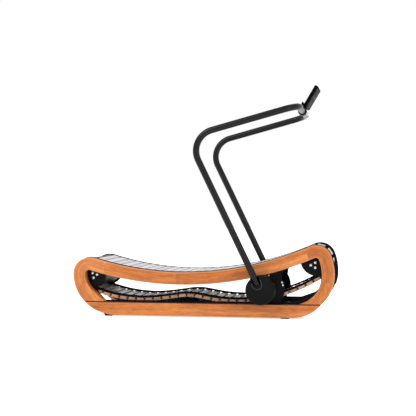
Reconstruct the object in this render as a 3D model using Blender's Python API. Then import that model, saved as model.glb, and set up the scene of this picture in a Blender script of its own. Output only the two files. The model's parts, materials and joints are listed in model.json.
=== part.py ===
"""Curved manual treadmill: wooden hoop sides on steel plates, a slat belt over two drums, a bent handlebar.

Metres, +Z up, +X is the front of the machine, -Y is the runner's right-hand side.
The origin is on the floor, under the middle of the machine.
"""

import math

import bmesh
import bpy
from mathutils import Vector

# Driving dimensions.
LIFT = 0.007                # the feet hold the wooden runners this far off the floor
GAP = 0.0003                # clearance between pieces that touch
SIDE_HALF = 0.300           # outer faces of the wooden sides
WOOD_THICK = 0.067
PLATE_THICK = 0.006
BEAM = 0.080                # height of the wooden hoop's beam
JOINT_Z = 0.087 + LIFT      # the hoop stands on the runner at this height
BELT_HALF = 0.2188
SLAT_PITCH = 0.057          # along the drive belts' cord line
SLAT_LENGTH = 0.051
SLAT_THICK = 0.021
WEB_THICK = 0.003
DRIVE_THICK = 0.012
DRIVE_WIDTH = 0.030
DRIVE_Y = 0.198             # middle of each drive belt
CORD_DEPTH = 0.027          # depth of the drive belts' cords, which keep their length round the drums
DRIVE_STEPS = 4             # straight stretches of drive belt under each slat
DRUM_R = 0.077
DRUM_WRAP = 0.111           # running surface's radius round both drums
FRONT_AXIS = Vector((0.725, 0.349 + LIFT))
REAR_AXIS = Vector((-0.742, 0.262 + LIFT))
DECK_R = 2.070              # the running surface's long hollow curve
AXLE_R = 0.0125
BEARING_SEAT = 0.0265       # bore for the ball bearings in each drum's ends
ROLLER_COUNT = 12
ROLLER_R = 0.015
ROLLER_SHAFT_R = 0.007
RETURN_R = 0.022
RETURN_X = (-0.138, -0.062)
TUBE_R = 0.0212
HANDLE_Y = 0.394
HUB = Vector((0.397, 0.184 + LIFT))
HUB_R = 0.093
COVER_FACE = 0.4205
KNEE = Vector((-0.0735, 1.160 + LIFT))
KNEE_R = 0.137
BAR = Vector((0.635, 1.351 + LIFT))
BAR_CORNER_R = 0.100
TRAY_LEAN = math.radians(30.6)
TRAY_WIDTH = 0.270
TRAY_LENGTH = 0.186
TRAY_THICK = 0.024
TRAY_FACE = -0.0015         # the tray's front, across the leaning line through the crossbar
TRAY_FOOT = 0.029           # height of the tray's lower edge above the crossbar
BOLT_R = 0.0065             # bolt heads' radius
BOLT_CIRCLE = 0.019         # radius of the three bolts beside each axle
CLAMP_OFFSET = {"front": Vector((0.0, -0.011)), "rear": Vector((0.008, -0.004))}
CLAMP_TURN = {"front": 60, "rear": 12}
PROUD = 0.004               # the side plate's edge stands this far outside the hoop
FRONT_LOW_R = 0.245         # hoop's outer radius between its widest point and the front joint
FRONT_INNER_R = 0.190       # and the window's radius there
FRONT_SIDE_R = 0.370        # hoop's outer radius above its widest point
REAR_LOW_R = 0.263
POST_CENTRE = Vector((0.415, 0.187))
POST_R = 0.1215             # side plate round the handle mount
LOBE_R = 0.103              # side plate round each axle clamp
FRONT_LOBE = Vector((0.742, 0.378))
REAR_LOBE = Vector((-0.760, 0.274))
SILL_Z = 0.095 + LIFT       # lower edge of the side plate's windows
PLATE_IN = SIDE_HALF - WOOD_THICK - GAP - PLATE_THICK
PLATE_OUT = SIDE_HALF - WOOD_THICK - GAP


# ---------------------------------------------------------------- outlines
def unit(angle):
    """Direction at this angle in degrees, in the X-Z plane."""
    return Vector((math.cos(math.radians(angle)), math.sin(math.radians(angle))))


def arcs(start, angle, steps, spacing=6.0):
    """Points and outward directions along joined arcs.

    Each step is (radius, end direction in degrees); a negative radius is a hollow curve.
    """
    points = [(Vector(start), unit(angle))]
    for radius, end in steps:
        count = max(1, round(abs(end - angle) * max(1.0, abs(radius) / 0.6) / spacing))
        base = points[-1][0] - radius * unit(angle)
        for k in range(1, count + 1):
            facing = angle + (end - angle) * k / count
            points.append((base + radius * unit(facing), unit(facing)))
        angle = end
    return points


def angle_of(vector):
    return math.degrees(math.atan2(vector.y, vector.x)) % 360


def deck_centre():
    """Centre of the hollow curve that touches the wrap circles of both drums."""
    middle = (FRONT_AXIS + REAR_AXIS) / 2
    half = (FRONT_AXIS - REAR_AXIS) / 2
    height = math.sqrt((DECK_R + DRUM_WRAP) ** 2 - half.length_squared)
    return middle + Vector((-half.y, half.x)).normalized() * height


DECK = deck_centre()
WOOD_DECK_R = DECK_R + 0.001
FRONT_CORNER = Vector((0.742, 0.3655 + LIFT))
REAR_CORNER = Vector((-0.757, 0.272 + LIFT))


def corner_radius(corner):
    """Radius of the hoop's corner that meets the deck curve smoothly."""
    return (corner - DECK).length - WOOD_DECK_R


def hoop_steps():
    """The hoop's outer edge, from the joint at the front, over the top, to the joint at the rear."""
    front_r = corner_radius(FRONT_CORNER)
    rear_r = corner_radius(REAR_CORNER)
    front_turn = angle_of(DECK - FRONT_CORNER)
    rear_turn = angle_of(DECK - REAR_CORNER)
    widest = widest_point()
    drop = math.degrees(math.asin((widest.y - JOINT_Z) / FRONT_LOW_R))
    start = widest + FRONT_LOW_R * (unit(-drop) - unit(0))
    rear_widest = REAR_CORNER + rear_r * unit(180)
    rear_drop = math.degrees(math.asin((rear_widest.y - JOINT_Z) / REAR_LOW_R))
    steps = [(FRONT_LOW_R, 0), (FRONT_SIDE_R, 20), (front_r, front_turn), (-WOOD_DECK_R, rear_turn),
             (rear_r, 180), (REAR_LOW_R, 180 + rear_drop)]
    return start, -drop, steps


def widest_point():
    """The hoop's foremost point."""
    side_top = FRONT_CORNER + corner_radius(FRONT_CORNER) * unit(20)
    return side_top + FRONT_SIDE_R * (unit(0) - unit(20))


def inner_hoop():
    """The hoop window's edge, from the front tip over the top to the rear tip."""
    start, angle, steps = hoop_steps()
    outer = arcs(start, angle, steps)
    upper = [p - BEAM * n for p, n in outer if -1e-6 <= angle_of(n) % 360 <= 180.001]
    front = widest_point() - Vector((FRONT_INNER_R + BEAM, 0))
    tip = math.degrees(math.asin((front.y - JOINT_Z) / FRONT_INNER_R))
    lower = arcs(front + FRONT_INNER_R * unit(-tip), -tip, [(FRONT_INNER_R, -4)])
    rear = arcs(upper[-1], 180, [(0.14, 227)])
    foot = Vector((-0.645, JOINT_Z))
    return [p for p, _ in lower] + upper + [p for p, _ in rear[1:]] + [foot]


def hoop_outline():
    start, angle, steps = hoop_steps()
    outer = [p for p, _ in arcs(start, angle, steps)]
    return outer + inner_hoop()[::-1]


def runner_edge():
    """The runner's curved lower edge, from the rear joint, along the floor, to the front joint."""
    top = JOINT_Z - GAP
    start, _, _ = hoop_steps()
    nose = arcs((0.583, LIFT), -90, [(0.255, -45), (0.29, -41)])
    tail = arcs((-0.575, LIFT), -90, [(0.25, -103.2), (0.57, -109.3), (0.21, -138)])
    front = [p for p, _ in nose if p.y < top - 0.002] + [Vector((start.x - 0.0005, top))]
    return [Vector((-0.7825, top))] + [p for p, _ in tail[::-1]] + front


def plate_outline():
    """Steel plate: stands just proud of the hoop's edge, and inside the runner's."""
    start, angle, steps = hoop_steps()
    outer = arcs(start, angle, steps)
    proud = [p + PROUD * n for p, n in outer if p.y > 0.19 + LIFT]
    low = [Vector((-0.792, 0.135)), Vector((-0.735, 0.075)), Vector((-0.640, 0.030))]
    nose = arcs((0.580, LIFT + 0.012), -90, [(0.240, -45), (0.262, -30)])
    return [p for p, _ in nose] + proud + low


def rear_window():
    """Opening in the side plate behind the handle post."""
    top = [p + 0.004 * Vector((0, 1)) for p in inner_hoop() if -0.64 < p.x < 0.27 and p.y > 0.18]
    post = arcs(POST_CENTRE + POST_R * unit(200), 200, [(POST_R, 147)])
    lobe = arcs(REAR_LOBE + LOBE_R * unit(-66), -66, [(LOBE_R, 2)])
    low = [Vector((-0.700, 0.147)), Vector((-0.655, SILL_Z)), Vector((0.318, SILL_Z))]
    return low + [p for p, _ in post] + top + [p for p, _ in lobe[::-1]]


def front_window():
    """Opening in the side plate ahead of the handle post."""
    top = [p + 0.004 * Vector((0, 1)) for p in inner_hoop() if 0.535 < p.x < 0.640 and p.y > 0.30]
    lobe = arcs(FRONT_LOBE + LOBE_R * unit(196), 196, [(LOBE_R, 272)])
    side = arcs((0.772, 0.262), 0, [(0.150, -58)])
    post = arcs(POST_CENTRE + POST_R * unit(34), 34, [(POST_R, -40)])
    neck = [Vector((0.521, 0.292))]
    left = [Vector((0.512, SILL_Z))] + [p for p, _ in post[::-1]] + neck
    right = [p for p, _ in lobe] + [p for p, _ in side] + [Vector((0.610, SILL_Z))]
    return left + top[::-1] + right


# ---------------------------------------------------------------- belt path
HUMP_Z = 0.119              # running surface over the two return rollers
RETURN_ROUTE = [  # the slack lower run's running surface, rear to front
    (-0.655, 0.1210), (-0.600, 0.1085), (-0.530, 0.0975), (-0.440, 0.0900), (-0.370, 0.0905),
    (-0.290, 0.0975), (-0.210, 0.1085), (-0.140, 0.1190), (-0.100, 0.1205), (-0.060, 0.1190),
    (0.010, 0.1070), (0.080, 0.0955), (0.160, 0.0885), (0.250, 0.0870), (0.340, 0.0935),
    (0.430, 0.1075), (0.520, 0.1325), (0.600, 0.1615), (0.670, 0.1925), (0.725, 0.2210)]


def smooth_run(points, per_span=3):
    """Catmull-Rom curve through the points, with its downward directions."""
    ends = [2 * points[0] - points[1]] + points + [2 * points[-1] - points[-2]]
    run = []
    for a, b, c, d in zip(ends, ends[1:], ends[2:], ends[3:]):
        for k in range(per_span):
            t = k / per_span
            spot = 0.5 * (2 * b + (c - a) * t + (2 * a - 5 * b + 4 * c - d) * t * t
                          + (3 * b - a - 3 * c + d) * t ** 3)
            run.append(spot)
    return run + [points[-1]]


def belt_loop():
    """The running surface as one closed line, seen from the near side, starting on the front drum."""
    start = angle_of(Vector((0.482, -0.876)))
    front = angle_of(DECK - FRONT_AXIS)
    rear = angle_of(DECK - REAR_AXIS)
    upper = arcs(FRONT_AXIS + DRUM_WRAP * unit(start - 360), start - 360,
                 [(DRUM_WRAP, front), (-DECK_R, rear), (DRUM_WRAP, 256)], spacing=3.0)
    lower = smooth_run([Vector((x, z + LIFT)) for x, z in RETURN_ROUTE])
    return [p for p, _ in upper] + lower


class Loop:
    """The drive belts' cord line, read by distance along it and by depth below the running surface."""

    def __init__(self, points):
        self.points = points
        self.lengths = [0.0]
        for a, b in zip(points, points[1:] + points[:1]):
            self.lengths.append(self.lengths[-1] + (b - a).length)
        self.total = self.lengths[-1]

    def spot(self, distance):
        distance %= self.total
        index = next(k for k in range(len(self.points)) if self.lengths[k + 1] >= distance)
        a = self.points[index]
        b = self.points[(index + 1) % len(self.points)]
        share = (distance - self.lengths[index]) / (self.lengths[index + 1] - self.lengths[index])
        return a.lerp(b, share)

    def at(self, distance, depth):
        """A point this deep inside the loop; the direction is taken over a short stretch."""
        ahead = self.spot(distance + 0.012)
        behind = self.spot(distance - 0.012)
        along = (ahead - behind).normalized()
        return self.spot(distance) + (depth - CORD_DEPTH) * inward(along)


def inward(along):
    """Direction into the loop, for this direction along it."""
    return Vector((-along.y, along.x))


def moved_in(points, depth):
    """The closed line moved into the loop by this depth."""
    ring = points[-1:] + points + points[:1]
    return [b + depth * inward((c - a).normalized()) for a, b, c in zip(ring, ring[1:], ring[2:])]


BELT = Loop(moved_in(belt_loop(), CORD_DEPTH))
SLATS = round(BELT.total / SLAT_PITCH)
PITCH = BELT.total / SLATS


def slat_corners(index, depth):
    """The two corners of a stiff, straight slat at this depth below its running surface."""
    middle = (index + 0.5) * PITCH
    reach = SLAT_LENGTH / 2
    along = (BELT.spot(middle + reach) - BELT.spot(middle - reach)).normalized()
    centre = BELT.spot(middle) + (depth - CORD_DEPTH) * inward(along)
    return centre - along * reach, centre + along * reach


# ---------------------------------------------------------------- solids
def material(name, colour, roughness, metallic=0.0):
    made = bpy.data.materials.new(name)
    made.use_nodes = True
    shader = made.node_tree.nodes["Principled BSDF"]
    shader.inputs["Base Color"].default_value = (*colour, 1.0)
    shader.inputs["Roughness"].default_value = roughness
    shader.inputs["Metallic"].default_value = metallic
    return made


def finish(name, mesh, look, smooth=None):
    """Make the named object from a bmesh, with outward faces."""
    bmesh.ops.recalc_face_normals(mesh, faces=mesh.faces)
    data = bpy.data.meshes.new(name)
    mesh.to_mesh(data)
    mesh.free()
    if smooth:
        data.shade_smooth()
        data.set_sharp_from_angle(angle=math.radians(smooth))
    made = bpy.data.objects.new(name, data)
    data.materials.append(look)
    bpy.context.scene.collection.objects.link(made)
    return made


def prism(name, outline, low, high, look):
    """An outline in the X-Z plane, drawn out from Y=low to Y=high."""
    mesh = bmesh.new()
    near = [mesh.verts.new((p[0], low, p[1])) for p in outline]
    far = [mesh.verts.new((p[0], high, p[1])) for p in outline]
    mesh.faces.new(near)
    mesh.faces.new(far[::-1])
    for k in range(len(outline)):
        j = (k + 1) % len(outline)
        mesh.faces.new((near[k], far[k], far[j], near[j]))
    return finish(name, mesh, look)


def band(name, outer, inner, low, high, look, smooth=None):
    """A closed band between two outlines with the same number of points."""
    mesh = bmesh.new()
    rings = [[mesh.verts.new((p[0], y, p[1])) for p in line]
             for line in (outer, inner) for y in (low, high)]
    outer_low, outer_high, inner_low, inner_high = rings
    for k in range(len(outer)):
        j = (k + 1) % len(outer)
        for a, b in ((outer_low, outer_high), (outer_high, inner_high),
                     (inner_high, inner_low), (inner_low, outer_low)):
            mesh.faces.new((a[k], b[k], b[j], a[j]))
    return finish(name, mesh, look, smooth)


def turned(name, profile, centre, look, sides=24, smooth=35):
    """A profile of (radius, Y) points turned round the Y direction through centre (X, Z).

    A profile that starts and ends at radius 0 is solid; any other is closed on itself.
    """
    mesh = bmesh.new()
    rings = []
    for radius, y in profile:
        if radius == 0:
            rings.append([mesh.verts.new((0, y, 0))] * sides)
            continue
        rings.append([mesh.verts.new((radius * math.cos(math.tau * k / sides), y,
                                      radius * math.sin(math.tau * k / sides))) for k in range(sides)])
    solid = profile[0][0] == 0
    pairs = list(zip(rings, rings[1:] + ([] if solid else rings[:1])))
    for a, b in pairs:
        for k in range(sides):
            j = (k + 1) % sides
            corners = []
            for vert in (a[k], a[j], b[j], b[k]):
                if vert not in corners:
                    corners.append(vert)
            mesh.faces.new(corners)
    made = finish(name, mesh, look, smooth)
    made.location = (centre[0], 0, centre[1])
    return made


def boolean(target, cutter, operation):
    """Join or cut with another object, and hide that object."""
    step = target.modifiers.new(operation.lower(), "BOOLEAN")
    step.operation = operation
    step.solver = "EXACT"
    step.object = cutter
    cutter.hide_render = True
    cutter.display_type = "WIRE"


def plug(name, centre, low, high, radius, look, sides=24):
    return turned(name, [(0, low), (radius, low), (radius, high), (0, high)], centre, look, sides)


def span(side, inner, outer):
    """Y limits of something between these distances from the middle, on one side."""
    return sorted((side * inner, side * outer))


SIDES = (("right", -1), ("left", 1))


def looks():
    return {
        "wood": material("oiled_wood", (0.62, 0.27, 0.09), 0.42),
        "steel": material("black_steel", (0.012, 0.012, 0.013), 0.45),
        "slat": material("slat_tread", (0.50, 0.50, 0.52), 0.50),
        "rubber": material("black_rubber", (0.018, 0.018, 0.019), 0.75),
        "tube": material("black_gloss_tube", (0.020, 0.020, 0.022), 0.30),
        "cover": material("black_plastic", (0.016, 0.016, 0.017), 0.50),
        "bare": material("zinc_steel", (0.62, 0.62, 0.62), 0.30, 1.0),
        "tray": material("tray_plastic", (0.012, 0.012, 0.013), 0.40),
    }


# ---------------------------------------------------------------- sub-parts
def make_sides(look):
    runner = runner_edge()
    for label, side in SIDES:
        wood = span(side, SIDE_HALF - WOOD_THICK, SIDE_HALF)
        steel = span(side, PLATE_IN, PLATE_OUT)
        through = (steel[0] - 0.01, steel[1] + 0.01)
        prism(f"wood_hoop_{label}", hoop_outline(), *wood, look["wood"])
        prism(f"wood_runner_{label}", runner, *wood, look["wood"])
        plate = prism(f"side_plate_{label}", plate_outline(), *steel, look["steel"])
        for title, window in (("rear", rear_window()), ("front", front_window())):
            cutter = prism(f"{title}_window_cut_{label}", window, *through, look["steel"])
            boolean(plate, cutter, "DIFFERENCE")


CROSS_TUBES = {  # middle X and Z, width, height
    "rear": (-0.500, 0.052, 0.050, 0.040),
    "middle": (-0.100, 0.044, 0.060, 0.030),
    "front": (0.520, 0.052, 0.050, 0.040),
    "handle": (0.425, 0.226, 0.060, 0.050)}
TUBE_WALL = 0.003


def make_cross_tubes(look):
    """Square tubes between the side plates."""
    half = PLATE_IN - GAP
    for title, (x, z, width, height) in CROSS_TUBES.items():
        outlines = []
        for shrink in (0, TUBE_WALL):
            w = width / 2 - shrink
            h = height / 2 - shrink
            outlines.append([(x - w, z - h), (x + w, z - h), (x + w, z + h), (x - w, z + h)])
        band(f"cross_tube_{title}", *outlines, -half, half, look["steel"])


def make_feet(look):
    """Rubber pads shaped to the runner's underside."""
    edge = runner_edge()
    for place, low, high in (("rear", -0.656, -0.592), ("front", 0.512, 0.576)):
        under = [p for p in edge if low < p.x < high and p.y < 0.05]
        left = height_on(edge, low)
        right = height_on(edge, high)
        top = [Vector((low, left))] + under + [Vector((high, right))]
        top = [p - Vector((0, GAP)) for p in top]
        outline = [Vector((low + 0.012, 0)), Vector((high - 0.012, 0))] + top[::-1]
        for label, side in SIDES:
            prism(f"foot_{place}_{label}", outline, *span(side, 0.250, 0.285), look["rubber"])


def height_on(edge, x):
    """Height of the runner's lower edge at this X."""
    for a, b in zip(edge, edge[1:]):
        if min(a.x, b.x) <= x <= max(a.x, b.x) and a.y < 0.06 and b.y < 0.06:
            return a.y + (b.y - a.y) * (x - a.x) / (b.x - a.x)
    return LIFT


def make_drum(place, axis, look):
    """Hollow drum on two ball bearings, turning on a fixed axle held by the side plates."""
    half = BELT_HALF - 0.004
    inside = DRUM_R - 0.005
    web = half - 0.014
    shell = [(DRUM_R, -half), (DRUM_R, half), (BEARING_SEAT, half), (BEARING_SEAT, web), (inside, web),
             (inside, -web), (BEARING_SEAT, -web), (BEARING_SEAT, -half)]
    turned(f"{place}_drum", shell, axis, look["steel"], 40)
    plug(f"{place}_axle", axis, GAP - PLATE_IN, PLATE_IN - GAP, AXLE_R, look["bare"], 16)
    for label, side in SIDES:
        low, high = span(side, half - 0.012, half)
        outer = BEARING_SEAT - GAP
        ring = [(outer, low), (outer, high), (AXLE_R + GAP, high), (AXLE_R + GAP, low)]
        turned(f"{place}_bearing_{label}", ring, axis, look["bare"], 20)
        make_axle_clamp(place, label, side, axis, look)


def make_axle_clamp(place, label, side, axis, look):
    """Pad on the side plate with three bolt heads round it, beside the axle's end."""
    middle = axis + CLAMP_OFFSET[place]
    low, high = span(side, PLATE_OUT + GAP, PLATE_OUT + 0.004)
    clamp = plug(f"axle_clamp_{place}_{label}", middle, low, high, 0.030, look["steel"], 24)
    for k in range(3):
        spot = middle + BOLT_CIRCLE * unit(CLAMP_TURN[place] + 120 * k)
        low, high = span(side, PLATE_OUT + 0.002, PLATE_OUT + 0.009)
        head = plug(f"bolt_{k}_{place}_{label}", spot, low, high, BOLT_R, look["bare"], 12)
        boolean(clamp, head, "UNION")


def make_deck_rollers(look):
    """Shafts with a tyre under each drive belt, just under the hollow of the deck."""
    front = angle_of(DECK - FRONT_AXIS) + 180
    rear = angle_of(DECK - REAR_AXIS) + 180
    depth = SLAT_THICK + GAP + DRIVE_THICK + 0.0007 + ROLLER_R
    for k in range(ROLLER_COUNT):
        angle = rear + (front - rear) * (k + 1.1) / (ROLLER_COUNT + 1.2)
        spot = DECK + (DECK_R + depth) * unit(angle)
        turned(f"deck_roller_{k + 1:02d}", roller_profile(ROLLER_R), spot, look["rubber"], 12)


def roller_profile(radius):
    end = PLATE_IN - 0.0008
    inner = DRIVE_Y - 0.011
    outer = DRIVE_Y + 0.011
    half = [(0, -end), (ROLLER_SHAFT_R, -end), (ROLLER_SHAFT_R, -outer), (radius, -outer), (radius, -inner),
            (ROLLER_SHAFT_R, -inner)]
    return half + [(r, -y) for r, y in half[::-1]]


def make_return_rollers(look):
    """Two rollers on stands hold up the middle of the slack lower run."""
    centre_z = HUMP_Z + LIFT - RETURN_R - 0.0025
    stand_y = 0.150
    for place, x in zip(("rear", "front"), RETURN_X):
        reach = stand_y + 0.006
        profile = [(0, -reach), (0.006, -reach), (0.006, 0.002 - stand_y), (RETURN_R, 0.002 - stand_y),
                   (RETURN_R, stand_y - 0.002), (0.006, stand_y - 0.002), (0.006, reach), (0, reach)]
        turned(f"return_roller_{place}", profile, (x, centre_z), look["rubber"], 16)
    for label, side in SIDES:
        base = 0.059 + GAP
        outline = [(-0.172, base), (-0.028, base), (-0.040, centre_z + 0.010), (-0.160, centre_z + 0.010)]
        stand = prism(f"roller_stand_{label}", outline, *span(side, stand_y, stand_y + 0.005), look["steel"])
        through = span(side, 0.1, 0.2)
        for k, x in enumerate(RETURN_X):
            hole = plug(f"stand_hole_{k}_{label}", (x, centre_z), *through, 0.0066, look["steel"], 12)
            boolean(stand, hole, "DIFFERENCE")


def make_slat_belt(look):
    """Slats side by side on a thin web, as one closed loop."""
    mesh = bmesh.new()
    ends = (-BELT_HALF, BELT_HALF)
    slats = []
    for k in range(SLATS):
        start, stop = slat_corners(k, 0)
        web_start, web_stop = slat_corners(k, SLAT_THICK - WEB_THICK)
        low_start, low_stop = slat_corners(k, SLAT_THICK)
        line = [start, stop, web_stop, low_stop, low_start, web_start]
        slats.append([[mesh.verts.new((p.x, y, p.y)) for p in line] for y in ends])
    for k, (near, far) in enumerate(slats):
        mesh.faces.new(near)
        mesh.faces.new(far[::-1])
        for a, b in ((5, 0), (0, 1), (1, 2), (3, 4)):
            mesh.faces.new((near[a], far[a], far[b], near[b]))
        next_near, next_far = slats[(k + 1) % SLATS]
        mesh.faces.new((near[2], next_near[5], next_near[4], near[3]))
        mesh.faces.new((far[3], next_far[4], next_far[5], far[2]))
        mesh.faces.new((near[2], far[2], next_far[5], next_near[5]))
        mesh.faces.new((near[3], next_near[4], next_far[4], far[3]))
    finish("slat_belt", mesh, look["slat"])


def make_drive_belts(look):
    """Rubber belts under the slats' ends: flat under each slat outside, round inside."""
    outer = []
    inner = []
    top = SLAT_THICK + GAP
    bottom = top + DRIVE_THICK
    for k in range(SLATS):
        start = (k + 0.5) * PITCH - SLAT_LENGTH / 2
        first, last = slat_corners(k, top)
        for step in range(DRIVE_STEPS + 1):
            share = step / DRIVE_STEPS
            outer.append(first.lerp(last, share))
            inner.append(BELT.at(start + SLAT_LENGTH * share, bottom))
    for label, side in SIDES:
        limits = span(side, DRIVE_Y - DRIVE_WIDTH / 2, DRIVE_Y + DRIVE_WIDTH / 2)
        band(f"drive_belt_{label}", outer, inner, *limits, look["rubber"], 40)


# ---------------------------------------------------------------- handle
def bend(before, corner, after, radius, count):
    """Points of a bend that rounds the corner between three points."""
    first = (before - corner).normalized()
    last = (after - corner).normalized()
    half = first.angle(last) / 2
    centre = corner + (first + last).normalized() * radius / math.sin(half)
    reach = radius / math.tan(half)
    start = corner + first * reach - centre
    stop = corner + last * reach - centre
    total = start.angle(stop)
    axis = start.cross(stop).normalized()
    side = axis.cross(start)
    return [centre + start * math.cos(total * k / count) + side * math.sin(total * k / count)
            for k in range(count + 1)]


def lower_end():
    """The tube's lower end, inside the mount, on the line down to the hub."""
    along = (HUB - KNEE).normalized()
    return HUB - along * 0.012


def handle_line():
    end = lower_end()

    def place(point, side):
        return Vector((point.x, side * HANDLE_Y, point.y))
    right = place(end, -1)
    knee = place(KNEE, -1)
    corner = place(BAR, -1)
    middle = Vector((BAR.x, 0, BAR.y))
    half = [right] + bend(right, knee, corner, KNEE_R, 9) + bend(knee, corner, middle, BAR_CORNER_R, 7)
    mirrored = [Vector((p.x, -p.y, p.z)) for p in half[::-1]]
    return half + mirrored


def make_handle(look):
    curve = bpy.data.curves.new("handlebar", "CURVE")
    curve.dimensions = "3D"
    curve.bevel_depth = TUBE_R
    curve.bevel_resolution = 4
    curve.use_fill_caps = True
    spline = curve.splines.new("POLY")
    line = handle_line()
    spline.points.add(len(line) - 1)
    for point, spot in zip(spline.points, line):
        point.co = (*spot, 1.0)
        point.radius = 1.0
    spline.use_smooth = True
    curve.materials.append(look["tube"])
    bar = bpy.data.objects.new("handlebar", curve)
    bpy.context.scene.collection.objects.link(bar)


def leaning_cylinder(name, y, radius, low, high, look):
    """Cylinder on the upright tube's line, from low to high above the hub."""
    along = (KNEE - HUB).normalized()
    made = turned(name, [(0, low), (radius, low), (radius, high), (0, high)], (0, 0), look, 20)
    made.rotation_mode = "QUATERNION"
    made.rotation_quaternion = Vector((0, 1, 0)).rotation_difference(Vector((along.x, 0, along.y)))
    made.location = (HUB.x, y, HUB.y)
    return made


def make_mounts(look):
    """Flanged steel mounts that hold the handlebar's ends, each under a round plastic cover."""
    for label, side in SIDES:
        y = side * HANDLE_Y
        inner = PLATE_OUT + GAP
        profile = [(0, side * inner), (0.074, side * inner), (0.074, side * (inner + 0.008)),
                   (0.050, side * (inner + 0.010)), (0.046, side * 0.402), (0, side * 0.402)]
        mount = turned(f"handle_mount_{label}", profile, HUB, look["steel"], 28)
        for k in range(6):
            low, high = span(side, inner + 0.006, inner + 0.014)
            spot = HUB + 0.062 * unit(30 + 60 * k)
            head = plug(f"mount_bolt_{k}_{label}", spot, low, high, BOLT_R, look["bare"], 10)
            boolean(mount, head, "UNION")
        socket = leaning_cylinder(f"socket_cut_{label}", y, TUBE_R + 0.0006, 0.011, 0.12, look["steel"])
        boolean(mount, socket, "DIFFERENCE")
        edge = 0.006
        wall = 0.004
        rim = side * (SIDE_HALF + 0.003)
        face = side * COVER_FACE
        inner_face = side * (COVER_FACE - wall)
        cup = [(0, face), (HUB_R - edge, face), (HUB_R, side * (COVER_FACE - edge)), (HUB_R, rim),
               (HUB_R - wall, rim), (HUB_R - wall, side * (COVER_FACE - wall - edge)),
               (HUB_R - wall * 2, inner_face), (0, inner_face)]
        cover = turned(f"hub_cover_{label}", cup, HUB, look["cover"], 40)
        for k, shift in enumerate((0, 0.014)):
            notch = leaning_cylinder(f"notch_cut_{k}_{label}", y + side * shift, TUBE_R + 0.0035, 0.050, 0.16,
                                     look["cover"])
            boolean(cover, notch, "DIFFERENCE")


# ---------------------------------------------------------------- tablet holder
def leaning(x, z):
    """A point given across and along the leaning tray, measured from the crossbar."""
    across = Vector((math.cos(TRAY_LEAN), -math.sin(TRAY_LEAN)))
    along = Vector((math.sin(TRAY_LEAN), math.cos(TRAY_LEAN)))
    return BAR + across * x + along * z


def make_tablet_holder(look):
    """Tray on a clamp that turns on the crossbar."""
    ring_r = TUBE_R + 0.0073
    bore = TUBE_R + 0.0006
    ring = [(ring_r, -0.030), (ring_r, 0.030), (bore, 0.030), (bore, -0.030)]
    clamp = turned("tablet_clamp", ring, BAR, look["cover"], 24)
    back = TRAY_FACE + TRAY_THICK
    neck_low = TUBE_R + 0.0025
    neck_high = TRAY_FOOT - GAP
    neck_outline = [leaning(TRAY_FACE + 0.003, neck_low), leaning(back - 0.003, neck_low),
                    leaning(back - 0.003, neck_high), leaning(TRAY_FACE + 0.003, neck_high)]
    neck = prism("clamp_neck", neck_outline, -0.025, 0.025, look["cover"])
    boolean(clamp, neck, "UNION")
    half = TRAY_WIDTH / 2
    tray = [leaning(back, TRAY_FOOT), leaning(back, TRAY_LENGTH), leaning(TRAY_FACE, TRAY_LENGTH),
            leaning(TRAY_FACE, TRAY_FOOT)]
    prism("tablet_tray", tray, -half, half, look["tray"])
    front = GAP - TRAY_FACE
    lip = front + 0.019
    ledge = [leaning(-front, 0.031), leaning(-front, 0.040), leaning(0.005 - lip, 0.040),
             leaning(0.005 - lip, 0.052), leaning(-lip, 0.052), leaning(-lip, 0.031)]
    prism("tablet_ledge", ledge, -0.110, 0.110, look["cover"])
    plug("clamp_screw", leaning(ring_r + 0.0093, 0.0), -0.016, 0.016, 0.009, look["bare"], 14)


def main():
    for old in list(bpy.data.objects):
        bpy.data.objects.remove(old, do_unlink=True)
    look = looks()
    make_sides(look)
    make_cross_tubes(look)
    make_feet(look)
    make_drum("front", FRONT_AXIS, look)
    make_drum("rear", REAR_AXIS, look)
    make_deck_rollers(look)
    make_return_rollers(look)
    make_slat_belt(look)
    make_drive_belts(look)
    make_handle(look)
    make_mounts(look)
    make_tablet_holder(look)


main()
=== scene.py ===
"""Looks of the curved manual treadmill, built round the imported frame.

Metres, +Z up, +X is the front of the machine, -Y is the side that faces the camera.
"""

import json
import math

import bmesh
import bpy
from mathutils import Matrix, Vector

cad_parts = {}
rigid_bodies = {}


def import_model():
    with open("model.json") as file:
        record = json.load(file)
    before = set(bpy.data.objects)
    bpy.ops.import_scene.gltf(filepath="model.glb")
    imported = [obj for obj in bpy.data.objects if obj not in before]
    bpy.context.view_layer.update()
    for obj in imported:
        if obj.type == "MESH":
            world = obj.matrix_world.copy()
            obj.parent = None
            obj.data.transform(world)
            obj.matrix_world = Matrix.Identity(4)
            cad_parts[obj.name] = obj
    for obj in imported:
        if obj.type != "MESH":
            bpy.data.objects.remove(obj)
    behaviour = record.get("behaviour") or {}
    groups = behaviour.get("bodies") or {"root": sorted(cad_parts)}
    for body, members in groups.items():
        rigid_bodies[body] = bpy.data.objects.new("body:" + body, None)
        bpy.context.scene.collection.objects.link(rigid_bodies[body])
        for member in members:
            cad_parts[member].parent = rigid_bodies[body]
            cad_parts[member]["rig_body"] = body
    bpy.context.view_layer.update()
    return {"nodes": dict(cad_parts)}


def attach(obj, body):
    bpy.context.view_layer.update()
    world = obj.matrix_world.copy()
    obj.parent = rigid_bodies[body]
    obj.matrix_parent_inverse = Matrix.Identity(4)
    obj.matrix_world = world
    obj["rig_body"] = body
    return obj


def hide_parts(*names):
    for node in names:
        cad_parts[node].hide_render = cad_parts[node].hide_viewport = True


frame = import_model()

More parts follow.
